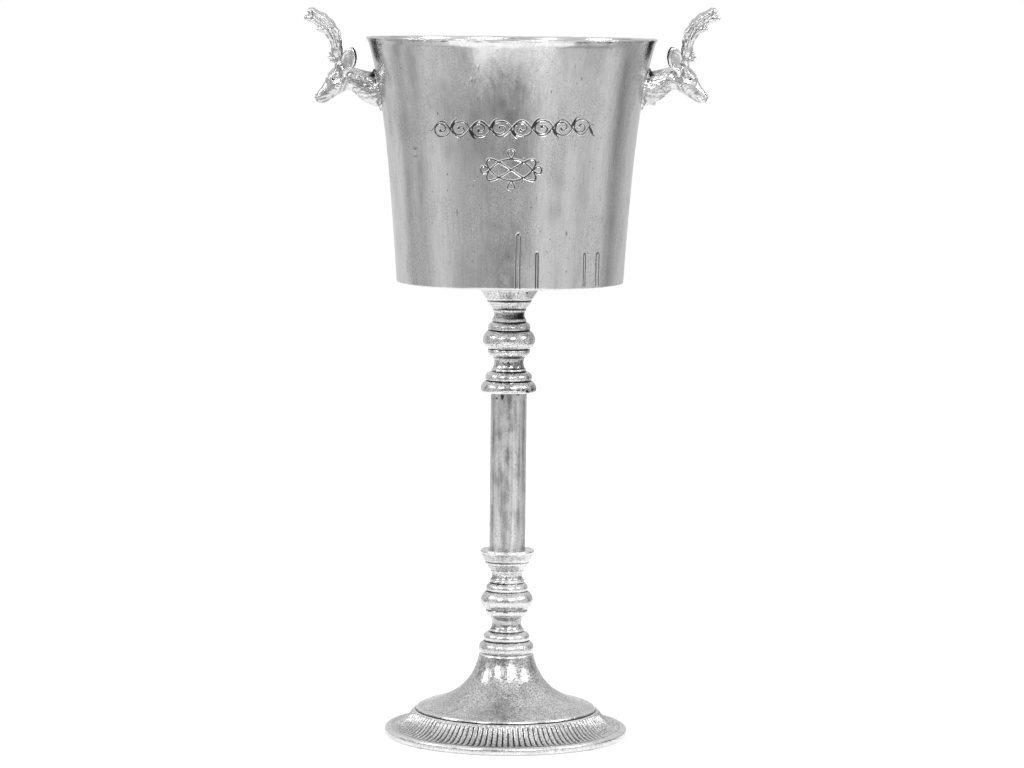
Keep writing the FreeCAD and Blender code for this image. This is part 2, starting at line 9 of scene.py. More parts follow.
import bpy
import numpy as np
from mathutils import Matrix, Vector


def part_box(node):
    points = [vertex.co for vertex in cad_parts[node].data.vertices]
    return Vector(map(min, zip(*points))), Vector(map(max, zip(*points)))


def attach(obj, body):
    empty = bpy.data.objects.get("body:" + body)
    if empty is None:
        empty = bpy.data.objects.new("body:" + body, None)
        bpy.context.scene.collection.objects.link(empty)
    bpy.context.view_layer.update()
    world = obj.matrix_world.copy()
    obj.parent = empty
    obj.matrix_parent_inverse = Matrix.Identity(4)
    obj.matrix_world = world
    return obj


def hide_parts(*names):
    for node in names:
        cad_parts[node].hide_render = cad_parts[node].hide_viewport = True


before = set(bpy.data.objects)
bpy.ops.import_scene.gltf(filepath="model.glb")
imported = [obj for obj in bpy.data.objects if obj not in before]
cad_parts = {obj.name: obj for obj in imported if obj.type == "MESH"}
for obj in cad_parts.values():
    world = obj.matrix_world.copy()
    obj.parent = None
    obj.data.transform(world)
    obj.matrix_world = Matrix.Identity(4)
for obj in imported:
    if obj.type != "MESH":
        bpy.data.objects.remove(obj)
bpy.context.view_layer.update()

import openvdb
from mathutils import Matrix, Vector

MM = 0.001


# --- places read from the frame, in millimetres ---
def low(node):
    return np.array(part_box(node)[0]) / MM


def high(node):
    return np.array(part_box(node)[1]) / MM


FOOT_RADIUS = high("foot")[0]
FOOT_BOTTOM = low("foot")[2]
FOOT_TOP = high("foot")[2]
TUBE_RADIUS = high("column_tube")[0]
TUBE_ENDS = low("column_tube")[2], high("column_tube")[2]
UPPER_BOTTOM = low("upper_baluster")[2]
COLLAR_BOTTOM = low("bucket_collar")[2]
COLLAR_TOP = high("bucket_collar")[2]
COLLAR_RADIUS = high("bucket_collar")[0]
BUCKET_BOTTOM = low("bucket")[2]
RIM_TOP = high("bucket")[2]
RIM_RADIUS = high("bucket")[0]

# --- sizes that the frame's boxes do not give ---
ROD_HOLE = 5.5
BUCKET_BASE_RADIUS = 119.0
BUCKET_TAPER = 17.8
LIP_PROUD = 0.9
LIP_HEIGHT = 7.0
LIP_EDGE = 1.6
BUCKET_WALL = 3.0
BUCKET_FLOOR = 4.0
BUCKET_HEIGHT = RIM_TOP - BUCKET_BOTTOM
BUCKET_FLARE = RIM_RADIUS - LIP_PROUD - BUCKET_BASE_RADIUS - BUCKET_TAPER
HANDLE_HEIGHT = RIM_TOP - 54.5
# How much higher the right head and its antlers sit than the left ones
RIGHT_LIFT = 3.6
HUB_RADIUS = 28.7
HUB_THICKNESS = 8.0
SHOULDER_HEIGHT = 29.7
FLUTE_COUNT = 120
SPIGOT = 12.0
SPIGOT_LENGTH = 4.0


def wall_radius(height):
    """Outer radius of the bucket's side at a height."""
    share = (height - BUCKET_BOTTOM) / BUCKET_HEIGHT
    return BUCKET_BASE_RADIUS + BUCKET_TAPER * share + BUCKET_FLARE * share ** 4


# --- noise and small maths ---
def lattice(cells, seed):
    """A repeatable random number from -1 to 1 for each whole-numbered cell."""
    n = cells[..., 0] * 73856093 ^ cells[..., 1] * 19349663 ^ cells[..., 2] * 83492791 ^ seed * 2654435
    n = (n ^ (n >> 13)) * 1274126177 & 0x7FFFFFFF
    n = (n ^ (n >> 16)) * 668265263 & 0x7FFFFFFF
    return (n & 0xFFFFFF) / 0x7FFFFF - 1.0


def noise(points, cell, seed=1):
    """Smooth noise from -1 to 1 whose features are about one cell across. A cell is a number, or
    three for different sizes along the axes."""
    place = points / np.asarray(cell, float)
    corner = np.floor(place).astype(np.int64)
    part = place - corner
    part = part * part * (3 - 2 * part)
    total = 0.0
    for dx in (0, 1):
        for dy in (0, 1):
            for dz in (0, 1):
                step = np.array((dx, dy, dz))
                weight = np.prod(np.where(step == 1, part, 1 - part), axis=-1)
                total = total + weight * lattice(corner + step, seed)
    return total


def layered(points, cell, layers, seed=1):
    """Noise with finer and fainter layers added."""
    total = 0.0
    for layer in range(layers):
        total = total + noise(points, np.asarray(cell, float) / 2 ** layer, seed + layer) / 2 ** layer
    return total


def ease(value, start, end):
    """0 before start, 1 after end, and smooth between them."""
    share = np.clip((value - start) / (end - start), 0, 1)
    return share * share * (3 - 2 * share)


def in_space(radius, angle, height):
    """Points from their radius, angle and height. The angle is 0 at -Y and grows towards +X."""
    return np.stack(np.broadcast_arrays(radius * np.sin(angle), -radius * np.cos(angle), height), axis=-1)


# --- meshes ---
def neighbour_means(points, quads, rounds):
    """The points after they have been averaged with their neighbours some rounds."""
    here = quads.ravel()
    there = np.roll(quads, -1, axis=1).ravel()
    count = np.bincount(here, minlength=len(points)) + np.bincount(there, minlength=len(points))
    for _ in range(rounds):
        columns = []
        for k in range(3):
            axis = points[:, k]
            total = np.bincount(here, axis[there], len(points)) + np.bincount(there, axis[here], len(points))
            columns.append(total / count)
        points = 0.5 * points + 0.5 * np.stack(columns, axis=1)
    return points


def face_normals(points, quads):
    """Each point's normal, averaged over its faces."""
    a, b, c, d = (points[quads[:, k]] for k in range(4))
    across = np.cross(c - a, d - b)
    normals = np.zeros_like(points)
    for k in range(3):
        for corner in range(4):
            normals[:, k] += np.bincount(quads[:, corner], across[:, k], len(points))
    return normals / np.maximum(np.linalg.norm(normals, axis=1, keepdims=True), 1e-9)


HOLLOW_ROUNDS = 8
HOLLOW_FULL = 0.35


def hollowness(points, quads):
    """How hollow the surface is at each point: 1 in a crease, -1 on an edge or a bump."""
    smooth = neighbour_means(points, quads, HOLLOW_ROUNDS)
    depth = np.sum((smooth - points) * face_normals(points, quads), axis=1)
    return np.clip(depth / HOLLOW_FULL, -1, 1)


def add_object(name, data):
    """A new object in the scene that shows a mesh, a lamp or a camera."""
    added = bpy.data.objects.new(name, data)
    bpy.context.scene.collection.objects.link(added)
    return added


def make_piece(name, points, quads, cavity, material, slot, *nodes):
    """A mesh piece that stands for CAD nodes, with its hollowness, and on the heads and antlers painted
    shade, kept for its material.
    """
    mesh = bpy.data.meshes.new(name)
    mesh.vertices.add(len(points))
    mesh.vertices.foreach_set("co", (points * MM).astype(np.float32).ravel())
    mesh.loops.add(quads.size)
    mesh.loops.foreach_set("vertex_index", quads.astype(np.int32).ravel())
    mesh.polygons.add(len(quads))
    mesh.polygons.foreach_set("loop_start", np.arange(0, quads.size, 4, dtype=np.int32))
    mesh.update(calc_edges=True)
    mesh.validate()
    mesh.shade_smooth()
    mesh.attributes.new("cavity", "FLOAT", "POINT").data.foreach_set("value", cavity.astype(np.float32))
    mesh.materials.append(material)
    piece = add_object(name, mesh)
    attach(piece, "root")
    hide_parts(*nodes)


# --- turned pieces ---
BEND_REACH = 1.6
BEND_FULL = 0.5
RISE_FULL = 0.7


def arc(start, middle, end, spacing):
    """Points along the circle's arc through three points, without the first."""
    (ax, ay), (bx, by), (cx, cy) = start, middle, end
    d = 2 * (ax * (by - cy) + bx * (cy - ay) + cx * (ay - by))
    a2, b2, c2 = ax * ax + ay * ay, bx * bx + by * by, cx * cx + cy * cy
    centre = np.array(((a2 * (by - cy) + b2 * (cy - ay) + c2 * (ay - by)) / d,
                       (a2 * (cx - bx) + b2 * (ax - cx) + c2 * (bx - ax)) / d))
    radius = math.dist(start, centre)
    first, via, last = (math.atan2(p[1] - centre[1], p[0] - centre[0]) for p in (start, middle, end))
    sweep = (last - first) % math.tau
    if (via - first) % math.tau > sweep:
        sweep -= math.tau
    count = max(2, math.ceil(abs(sweep) * radius / spacing))
    turn = first + sweep * np.arange(1, count + 1) / count
    return centre + radius * np.stack((np.cos(turn), np.sin(turn)), axis=1)


def traced(steps, spacing):
    """An outline's points. A step is a point to reach in a line, or a pair to reach by an arc."""
    points = [np.array(steps[0], float)[None]]
    for step in steps[1:]:
        here = points[-1][-1]
        if np.ndim(step) == 1:
            count = max(1, math.ceil(math.dist(here, step) / spacing))
            share = np.arange(1, count + 1)[:, None] / count
            points.append(here + share * (np.array(step, float) - here))
        else:
            points.append(arc(here, step[0], step[1], spacing))
    return np.concatenate(points)


def run_along(points):
    """How far along its curve each point lies."""
    steps = np.linalg.norm(np.diff(points, axis=0), axis=1)
    return np.concatenate(((0,), np.cumsum(steps)))


def softened(outline, rounds):
    """A closed outline with its corners rounded off."""
    for _ in range(rounds):
        outline = 0.5 * outline + 0.25 * (np.roll(outline, 1, axis=0) + np.roll(outline, -1, axis=0))
    return outline


def bends(outline, normal):
    """How far each point of a closed outline lies inside the chord between its near surroundings."""
    ring = np.concatenate((outline, outline[:1]))
    length = run_along(ring)
    chord = np.zeros_like(outline)
    for way in (-BEND_REACH, BEND_REACH):
        place = (length[:-1] + way) % length[-1]
        chord += np.stack([np.interp(place, length, ring[:, k]) for k in (0, 1)], axis=1) / 2
    return np.sum((chord - outline) * normal, axis=1)


def turned(outline, angles, relief):
    """A closed outline of (radius, height) swept round Z: its points, its faces and how hollow it
    is at each point. relief gives each point's rise along its normal from its radius, height,
    angle and row."""
    back, ahead = np.roll(outline, 1, axis=0), np.roll(outline, -1, axis=0)
    along = ahead - back
    along /= np.linalg.norm(along, axis=1, keepdims=True)
    area = np.sum(outline[:, 0] * ahead[:, 1] - ahead[:, 0] * outline[:, 1])
    normal = np.stack((along[:, 1], -along[:, 0]), axis=1) * np.sign(area)
    rows, columns = len(outline), len(angles)
    radius, height = (np.repeat(outline[:, k:k + 1], columns, axis=1) for k in (0, 1))
    rise = relief(radius, height, angles[None, :], np.arange(rows)[:, None])
    radius = radius + rise * normal[:, 0:1]
    height = height + rise * normal[:, 1:2]
    points = in_space(radius, angles, height)
    index = np.arange(rows * columns).reshape(rows, columns)
    right, over = np.roll(index, -1, axis=1), np.roll(index, -1, axis=0)
    quads = np.stack((index, right, np.roll(right, -1, axis=0), over), axis=-1).reshape(-1, 4)
    if area < 0:
        quads = quads[:, ::-1]
    cavity = bends(outline, normal)[:, None] / BEND_FULL - rise / RISE_FULL
    return points.reshape(-1, 3), quads, np.clip(cavity, -1, 1).ravel()


def even_angles(count):
    return np.arange(count) * math.tau / count


PIT_DEPTH = 0.35
CHIP_CELL = 3.2, 3.2, 2.6


def cast_skin(radius, height, angles, seed, wave=0.1):
    """The uneven skin of a sand casting: slow waves, small lumps and a few pits."""
    points = in_space(radius, angles, height)
    lumps = wave * layered(points, 13.0, 3, seed)
    pits = ease(noise(points, 3.1, seed + 9), 0.72, 0.95)
    return lumps - PIT_DEPTH * pits


def chips(points, height, reach, seed):
    """Ragged dark marks about a height, where the skin has flaked round a joint."""
    near = 1 - ease(np.abs(points[:, 2] - height), 0.3 * reach, reach)
    return near * ease(noise(points, CHIP_CELL, seed), 0.2, 0.5)


def through(points, spacing):
    """Points along a smooth curve through some points, without the first."""
    points = np.array(points, float)
    padded = np.vstack((2 * points[0] - points[1], points, 2 * points[-1] - points[-2]))
    found = []
    for a, b, c, d in zip(padded, padded[1:], padded[2:], padded[3:]):
        count = max(1, math.ceil(math.dist(b, c) / spacing))
        t = np.arange(1, count + 1)[:, None] / count
        curve = 2 * b + (c - a) * t + (2 * a - 5 * b + 4 * c - d) * t ** 2 + (3 * b - a - 3 * c + d) * t ** 3
        found.append(curve / 2)
    return np.concatenate(found)


# --- foot and stem ---
# The bell from the hub, 0, to the shoulder, 1: the share of the way out and of the way down
BELL = ((0.0, 0.0), (0.023, 0.12), (0.069, 0.271), (0.157, 0.463), (0.279, 0.623), (0.381, 0.713),
        (0.569, 0.827), (0.782, 0.913), (0.919, 0.96), (1.0, 1.0))
FOOT_RIM_WIDTH = 9.0
FOOT_RIM_HEIGHT = 9.0
FLUTE_BAND = 22.4
FLUTE_DEPTH = 1.9
# The ribs' section, their rise that is level with the plain foot, and the cast skin's share lost
FLUTE_SHARPNESS = 0.5
FLUTE_LEVEL = 0.76
FLUTE_SMOOTHING = 0.7
COLUMNS_PER_FLUTE = 10
STEP_WIDTH = 3.3
STEP_DROP = 2.9
FOOT_WALL = 4.0
BAND_OUTER = FOOT_RADIUS - FOOT_RIM_WIDTH
BAND_INNER = BAND_OUTER - FLUTE_BAND
SOCKET_DEPTH = 10.0
SOCKET_RADIUS = TUBE_RADIUS + 0.1
TUBE_WALL = 1.5
BALUSTER_HEIGHT = 110.0
LOWER_LIP = 29.0, 2.4
UPPER_LIP = 31.6, 0.4
# Where the skin has flaked: how high, and how far above and below that
LOWER_CHIPS = FOOT_TOP + 74.0, 5.0
UPPER_CHIPS = UPPER_BOTTOM + 2.0, 5.0
TUBE_CHIPS = UPPER_BOTTOM - 2.0, 6.0


def bell(hub_radius, hub_height, edge_radius, edge_height):
    shares = np.array(BELL)
    return np.stack((hub_radius + shares[:, 0] * (edge_radius - hub_radius),
                     hub_height - shares[:, 1] * (hub_height - edge_height)), axis=1)


def foot_outline():
    """The foot's section, and how many of its points are on the outside."""
    shoulder = BAND_INNER - STEP_WIDTH
    band_top = SHOULDER_HEIGHT - STEP_DROP
    recess = FOOT_TOP - SPIGOT_LENGTH
    hub_bottom = FOOT_TOP - HUB_THICKNESS
    share = np.linspace(0, 1, 25)[1:, None]
    drop = (band_top - FOOT_RIM_HEIGHT) * (1 - share) ** 2
    band = np.hstack((BAND_INNER + share * FLUTE_BAND, FOOT_RIM_HEIGHT + drop))
    rim_inner = BAND_OUTER - 1.0
    outside = np.concatenate((
        traced(((ROD_HOLE, hub_bottom), (ROD_HOLE, recess), (SPIGOT, recess), (SPIGOT, FOOT_TOP),
                (HUB_RADIUS, FOOT_TOP)), 6.0),
        through(bell(HUB_RADIUS, FOOT_TOP, shoulder, SHOULDER_HEIGHT), 2.2),
        traced(((shoulder, SHOULDER_HEIGHT), (BAND_INNER - 2.4, band_top + 0.6),
                (BAND_INNER - 1.6, band_top - 0.1), (BAND_INNER, band_top + 0.1)), 1.0)[1:],
        band,
        traced(((BAND_OUTER, FOOT_RIM_HEIGHT),
                ((BAND_OUTER + 0.7, FOOT_RIM_HEIGHT - 0.7), (BAND_OUTER + 1.8, FOOT_RIM_HEIGHT)),
                (FOOT_RADIUS - 3.0, FOOT_RIM_HEIGHT - 0.3),
                ((FOOT_RADIUS - 0.8, FOOT_RIM_HEIGHT - 1.4), (FOOT_RADIUS, FOOT_RIM_HEIGHT - 3.6)),
                (FOOT_RADIUS, FOOT_BOTTOM + 2.0),
                ((FOOT_RADIUS - 0.6, FOOT_BOTTOM + 0.6), (FOOT_RADIUS - 2.0, FOOT_BOTTOM))), 1.4)[1:],
    ))
    inside = bell(HUB_RADIUS - FOOT_WALL, hub_bottom, shoulder, SHOULDER_HEIGHT - FOOT_WALL)[::-1]
    underneath = np.concatenate((
        ((rim_inner, FOOT_BOTTOM), (rim_inner, FOOT_RIM_HEIGHT - FOOT_WALL)),
        band[-4::-4] - (0, FOOT_WALL),
        through(inside, 9.0),
        ((HUB_RADIUS - FOOT_WALL, hub_bottom), (ROD_HOLE + 4, hub_bottom)),
    ))
    return np.concatenate((outside, underneath)), len(outside)


def foot(material):
    outline, outside_rows = foot_outline()
    outline = softened(outline, 1)

    def relief(radius, height, angle, row):
        band = ease(radius, BAND_INNER + 0.3, BAND_INNER + 1.9)
        band = band * (1 - ease(radius, BAND_OUTER - 1.7, BAND_OUTER - 0.1))
        rib = np.abs(np.cos(angle * FLUTE_COUNT / 2)) ** FLUTE_SHARPNESS
        skin = (1 - FLUTE_SMOOTHING * band) * cast_skin(radius, height, angle, 3, 0.08)
        return (row < outside_rows) * (skin + FLUTE_DEPTH * band * (rib - FLUTE_LEVEL))

    points, quads, cavity = turned(outline, even_angles(FLUTE_COUNT * COLUMNS_PER_FLUTE), relief)
    make_piece("foot_casting", points, quads, cavity, material, "cast_aluminium", "foot")


def baluster_outside(bottom, lip_radius, lip_round):
    """Two base rings, a ball between beads and two necks, and a cup, from the base edge up."""
    steps = (
        (28.0, 0),
        ((29.3, 4.5), (24.6, 12.0)),
        (23.6, 12.4),
        ((24.7, 15.2), (19.0, 21.8)),
        (17.6, 22.2),
        ((18.4, 23.8), (17.2, 25.2)),
        ((15.4, 31.0), (17.6, 37.6)),
        (18.4, 38.0),
        ((21.6, 41.0), (22.3, 45.2)),
        (21.6, 45.8),
        ((27.6, 55.3), (22.6, 65.0)),
        (21.8, 65.6),
        ((22.3, 69.6), (18.6, 74.0)),
        (17.6, 74.4),
        ((18.3, 76.2), (17.2, 78.0)),
        ((15.9, 81.8), (17.6, 86.4)),
        (17.8, 88.0),
        ((20.4, 91.0), (23.6, 96.0)),
        (23.2, 97.0),
        (24.9, 98.4),
        ((26.8 + 0.4 * (lip_radius - LOWER_LIP[0]), 103.4), (lip_radius, BALUSTER_HEIGHT - lip_round)),
        (lip_radius - 0.6 * lip_round, BALUSTER_HEIGHT),
    )
    return traced(steps, 0.62) + (0, bottom)


def baluster(name, bottom, lip, cup_socket, material, seed):
    """A turned stem casting with its rod hole, its spigot and the socket for the tube's end."""
    lip_radius, lip_round = lip
    top = bottom + BALUSTER_HEIGHT
    outside = baluster_outside(bottom, lip_radius, lip_round)
    if cup_socket:
        start = ((ROD_HOLE, bottom - SPIGOT_LENGTH), (SPIGOT, bottom - SPIGOT_LENGTH), (SPIGOT, bottom))
        end = ((SOCKET_RADIUS, top), (SOCKET_RADIUS, top - SOCKET_DEPTH), (ROD_HOLE, top - SOCKET_DEPTH))
    else:
        start = ((ROD_HOLE, bottom + SOCKET_DEPTH), (SOCKET_RADIUS, bottom + SOCKET_DEPTH),
                 (SOCKET_RADIUS, bottom))
        end = ((SPIGOT, top), (SPIGOT, top + SPIGOT_LENGTH), (ROD_HOLE, top + SPIGOT_LENGTH))
    start = traced(start + (tuple(outside[0]),), 4.0)[:-1]
    end = traced((tuple(outside[-1]),) + end, 4.0)[1:]
    outline = np.concatenate((start, outside, end))

    def relief(radius, height, angle, row):
        shown = (row >= len(start)) & (row < len(start) + len(outside))
        wobble = 0.25 * np.cos(angle - seed)
        return shown * (wobble + cast_skin(radius, height, angle, seed, 0.16))

    points, quads, cavity = turned(softened(outline, 1), even_angles(240), relief)
    cavity = cavity + chips(points, *(LOWER_CHIPS if cup_socket else UPPER_CHIPS), seed + 5)
    make_piece(name, points, quads, cavity, material, "cast_aluminium",
               "lower_baluster" if cup_socket else "upper_baluster")


def tube(material):
    bottom, top = TUBE_ENDS
    bore = TUBE_RADIUS - TUBE_WALL
    inside = ((bore, top), (bore, bottom))
    outline = np.concatenate((traced(((TUBE_RADIUS, bottom), (TUBE_RADIUS, top)), 1.4), inside))

    def relief(radius, height, angle, row):
        points = in_space(radius, angle, height) * (1, -1, 1)
        return (row < len(outline) - 2) * 0.07 * layered(points, (9, 9, 70), 2, 31)

    points, quads, cavity = turned(outline, even_angles(180), relief)
    cavity = cavity + chips(points, *TUBE_CHIPS, 37)
    make_piece("column_tube_drawn", points, quads, cavity, material, "drawn_tube", "column_tube")


def collar(material):
    bore = SPIGOT + 0.5
    outline = traced(((bore, COLLAR_BOTTOM), (UPPER_LIP[0], COLLAR_BOTTOM), (COLLAR_RADIUS, COLLAR_TOP),
                      (bore, COLLAR_TOP), (bore, COLLAR_BOTTOM)), 0.9)[:-1]

    def relief(radius, height, angle, row):
        return ease(radius, bore + 2, UPPER_LIP[0] - 2) * cast_skin(radius, height, angle, 47, 0.18)

    points, quads, cavity = turned(softened(outline, 1), even_angles(200), relief)
    make_piece("bucket_collar_ring", points, quads, cavity, material, "cast_aluminium", "bucket_collar")


# --- engraving ---
# Strokes are drawn on the bucket's front, unrolled: millimetres round from the middle, and height.
VINE_HEIGHT = 646.0
VINE_SLOPE = 0.025
VINE_SWING = 8.0
VINE_WAVE = 43.0
VINE_ARCHES = 8
VOLUTE_RADIUS = 9.6
VOLUTE_TURNS = 1.45
KNOT_HEIGHT = 604.0
KNOT_SIZE = 25.0, 11.0
DROP_SIZE = 3.6, 9.5
LINE = 0.62
GROOVE_DEPTH = 0.6
BURR = 0.06
STROKE_STEP = 0.35
# Each mark of the spinning tool: its left side, its right side and its top
DRAW_MARKS = (6.0, 10.2, 538.0), (26.5, 29.0, 519.0), (82.0, 84.4, 517.5), (100.0, 104.6, 517.5)
DRAW_MARK_LINE = 0.5
DRAW_MARK_FOOT = BUCKET_BOTTOM + 2


def stroke(points, width, taper=True):
    """Evenly spaced points along a curve with the half width of the cut at each."""
    points = np.asarray(points, float)
    length = run_along(points)
    even = np.linspace(0, length[-1], max(4, int(length[-1] / STROKE_STEP)))
    share = even / length[-1]
    swell = 0.45 + 0.55 * np.sin(math.pi * share) ** 0.5 if taper else np.ones_like(share)
    places = np.stack([np.interp(even, length, points[:, k]) for k in (0, 1)], axis=1)
    return places, width * swell


def vine():
    """A running scroll: a waving stem, a volute in each hollow and a leaf at each crossing."""
    half = VINE_WAVE / 2
    end = VINE_ARCHES / 2 * half
    s = np.linspace(-end - 5, end + 5, 400)
    fade = ease(s, -end - 9, -end + 4) * (1 - ease(s, end - 4, end + 9))
    strokes = [stroke(np.stack((s, VINE_SWING * fade * np.sin((s + end) * math.pi / half)), 1), LINE)]
    for arch in range(VINE_ARCHES):
        side = 1 - 2 * (arch % 2)
        middle = -end + (arch + 0.5) * half
        turn = np.linspace(0, VOLUTE_TURNS * math.tau, 120)
        radius = VOLUTE_RADIUS * (1 - turn / turn[-1]) ** 0.8 + 1.1
        curl = np.stack((middle + radius * np.cos(turn), -side * 0.82 * radius * np.sin(turn)), axis=1)
        strokes.append(stroke(curl, LINE * 0.9))
        strokes.append(stroke(curl[-18:], LINE * 1.5))
        crossing = middle + half / 2
        share = np.linspace(0, 1, 30)
        for length, bend in ((10.0, 4.5), (7.0, -2.5)):
            leaf = np.stack((crossing - 1 + length * share * 0.8,
                             side * (length * share + bend * np.sin(math.pi * share) * 0.4)), axis=1)
            strokes.append(stroke(leaf, LINE * 1.25))
    for places, _ in strokes:
        places[:, 1] += VINE_HEIGHT + VINE_SLOPE * places[:, 0]
    return strokes


def knot():
    """A closed interlaced loop with a drop above, below and at each end."""
    turn = np.linspace(0, math.tau, 500)
    wide, tall = KNOT_SIZE
    loop = np.stack((wide * np.sin(2 * turn), tall * np.cos(3 * turn)), axis=1)
    strokes = [stroke(loop, LINE, taper=False)]
    share = np.linspace(0, math.tau, 60)
    across, away = DROP_SIZE[0] * np.sin(share), DROP_SIZE[1] * np.sin(share / 2)
    crossing = wide * math.sin(math.pi / 3)
    for side in (-1, 1):
        strokes.append(stroke(np.stack((across, side * (tall + away)), 1), LINE * 0.9, taper=False))
        strokes.append(stroke(np.stack((side * (crossing + away), across), 1), LINE * 0.9, taper=False))
    return [(places + (0.5, KNOT_HEIGHT), width) for places, width in strokes]


def draw_marks():
    """Thin arched lines that the spinning tool left above the base."""
    strokes = []
    for left, right, top in DRAW_MARKS:
        reach = (right - left) / 2
        arch = np.linspace(math.pi, 0, 20)
        curve = np.stack(((left + right) / 2 + reach * np.cos(arch), top - reach + reach * np.sin(arch)), 1)
        line = np.concatenate((((left, DRAW_MARK_FOOT),), curve, ((right, DRAW_MARK_FOOT),)))
        strokes.append(stroke(line, DRAW_MARK_LINE, taper=False))
    return strokes


def engraving(angles, heights):
    """The rise of each point of the bucket's side from the engraved strokes and their burrs."""
    nearest = np.full((len(heights), len(angles)), 9.0)
    around = angles[None, :] * wall_radius(heights)[:, None]
    reach = 3.2 * LINE
    for places, widths in vine() + knot() + draw_marks():
        for (s, height), width in zip(places, widths):
            rows = np.flatnonzero(np.abs(heights - height) < reach)
            columns = np.flatnonzero(np.abs(angles - s / wall_radius(height)) < reach / BUCKET_BASE_RADIUS)
            if len(rows) and len(columns):
                patch = np.ix_(rows, columns)
                away = np.hypot(around[patch] - s, (heights[rows] - height)[:, None]) / width
                nearest[patch] = np.minimum(nearest[patch], away)
    groove = -GROOVE_DEPTH * np.clip(1 - nearest ** 2 / 1.7, 0, None)
    return groove + BURR * np.exp(-((nearest - 1.9) / 0.45) ** 2)


# --- bucket ---
BASE_EDGE_ROUND = 1.5
INNER_CORNER_ROUND = 6.0
# The mesh is finest over the vine and the knot, and fairly fine over the tool's marks
ENGRAVED_TOP = 671.0
ENGRAVED_FOOT = 581.0
MARKED_TOP = 546.0
FINE_ANGLE = math.radians(42)
FINE_STEP = math.radians(0.24)
MARKED_ANGLE = math.radians(56)
MARKED_STEP = math.radians(0.45)
PLAIN_STEP = math.radians(2.4)


def spans(*parts):
    """Numbers from the first part's start on, each part (start, end, step) in steps of about its own."""
    found = [np.linspace(start, end, math.ceil(abs(end - start) / step), endpoint=False)
             for start, end, step in parts]
    return np.concatenate(found)


def bucket_outline():
    """The bucket's section from the rod hole over the floor, up, over the lip and down outside,
    with the first and last point of the engraved side."""
    floor = BUCKET_BOTTOM + BUCKET_FLOOR
    brim = RIM_TOP - LIP_EDGE
    rise = floor + INNER_CORNER_ROUND
    corner = wall_radius(rise) - BUCKET_WALL
    slant = INNER_CORNER_ROUND * (1 - math.sqrt(0.5))
    rim = wall_radius(RIM_TOP)
    heights = spans((rise, RIM_TOP - 2.0, 11.0))[1:]
    inside = np.stack((wall_radius(heights) - BUCKET_WALL, heights), axis=1)
    start = np.concatenate((
        traced(((ROD_HOLE, floor), (corner - INNER_CORNER_ROUND, floor),
                ((corner - slant, floor + slant), (corner, rise))), 10.0)[:-1],
        arc((corner - INNER_CORNER_ROUND, floor), (corner - slant, floor + slant), (corner, rise), 1.6),
        inside,
        traced(((rim - BUCKET_WALL, RIM_TOP - 1.6), ((rim - BUCKET_WALL + 0.5, RIM_TOP - 0.5),
                (rim - BUCKET_WALL + 1.4, RIM_TOP - 0.1)), (rim - 0.9, RIM_TOP),
                ((rim + LIP_PROUD - 0.4, RIM_TOP - 0.5), (rim + LIP_PROUD, brim))), 0.6),
    ))
    heights = spans((brim - 0.8, brim - 10, 0.8), (brim - 10, ENGRAVED_TOP, 2.6),
                    (ENGRAVED_TOP, ENGRAVED_FOOT, 0.6), (ENGRAVED_FOOT, MARKED_TOP, 2.2),
                    (MARKED_TOP, BUCKET_BOTTOM + BASE_EDGE_ROUND, 1.6))
    flare = LIP_PROUD * ease(heights, brim - LIP_HEIGHT, brim)
    side = np.stack((wall_radius(heights) + flare, heights), axis=1)
    edge = BUCKET_BASE_RADIUS - BASE_EDGE_ROUND
    slant = BASE_EDGE_ROUND * (1 - math.sqrt(0.5))
    end = np.concatenate((
        traced(((wall_radius(BUCKET_BOTTOM + BASE_EDGE_ROUND), BUCKET_BOTTOM + BASE_EDGE_ROUND),
                ((BUCKET_BASE_RADIUS - slant, BUCKET_BOTTOM + slant), (edge, BUCKET_BOTTOM))), 0.8),
        traced(((edge, BUCKET_BOTTOM), (ROD_HOLE, BUCKET_BOTTOM)), 12.0)[1:],
    ))
    return np.concatenate((start, side, end)), len(start), len(start) + len(side)


def bucket_angles():
    return spans((-math.pi, -FINE_ANGLE, PLAIN_STEP), (-FINE_ANGLE, FINE_ANGLE, FINE_STEP),
                 (FINE_ANGLE, MARKED_ANGLE, MARKED_STEP), (MARKED_ANGLE, math.pi, PLAIN_STEP))


def bucket(material):
    outline, side_start, side_end = bucket_outline()
    angles = bucket_angles()
    cuts = np.zeros((len(outline), len(angles)))
    cuts[side_start:side_end] = engraving(angles, outline[side_start:side_end, 1])

    def relief(radius, height, angle, row):
        points = in_space(radius, angle, height)
        side = (row >= side_start) & (row < side_end)
        wall = ease(radius, BUCKET_BASE_RADIUS - 12, BUCKET_BASE_RADIUS - 6)
        waves = 0.16 * layered(points, (46, 46, 130), 2, 51) + 0.035 * layered(points, (9, 9, 16), 2, 57)
        pits = -0.3 * ease(noise(points, 3.4, 63), 0.82, 0.97)
        lip = ease(height, RIM_TOP - LIP_HEIGHT, RIM_TOP)
        ragged = 0.35 * lip * layered(points, 7, 2, 71)
        return wall * (waves + ragged) + side * pits + cuts

    points, quads, cavity = turned(outline, angles, relief)
    make_piece("bucket_pail", points, quads, cavity, material, "cast_aluminium", "bucket")


# --- stag heads ---
# A head is modelled in its handle's own directions: out from the bucket's wall, across, and up.
HANDLE_WALL = wall_radius(HANDLE_HEIGHT)
VOXEL = 0.5
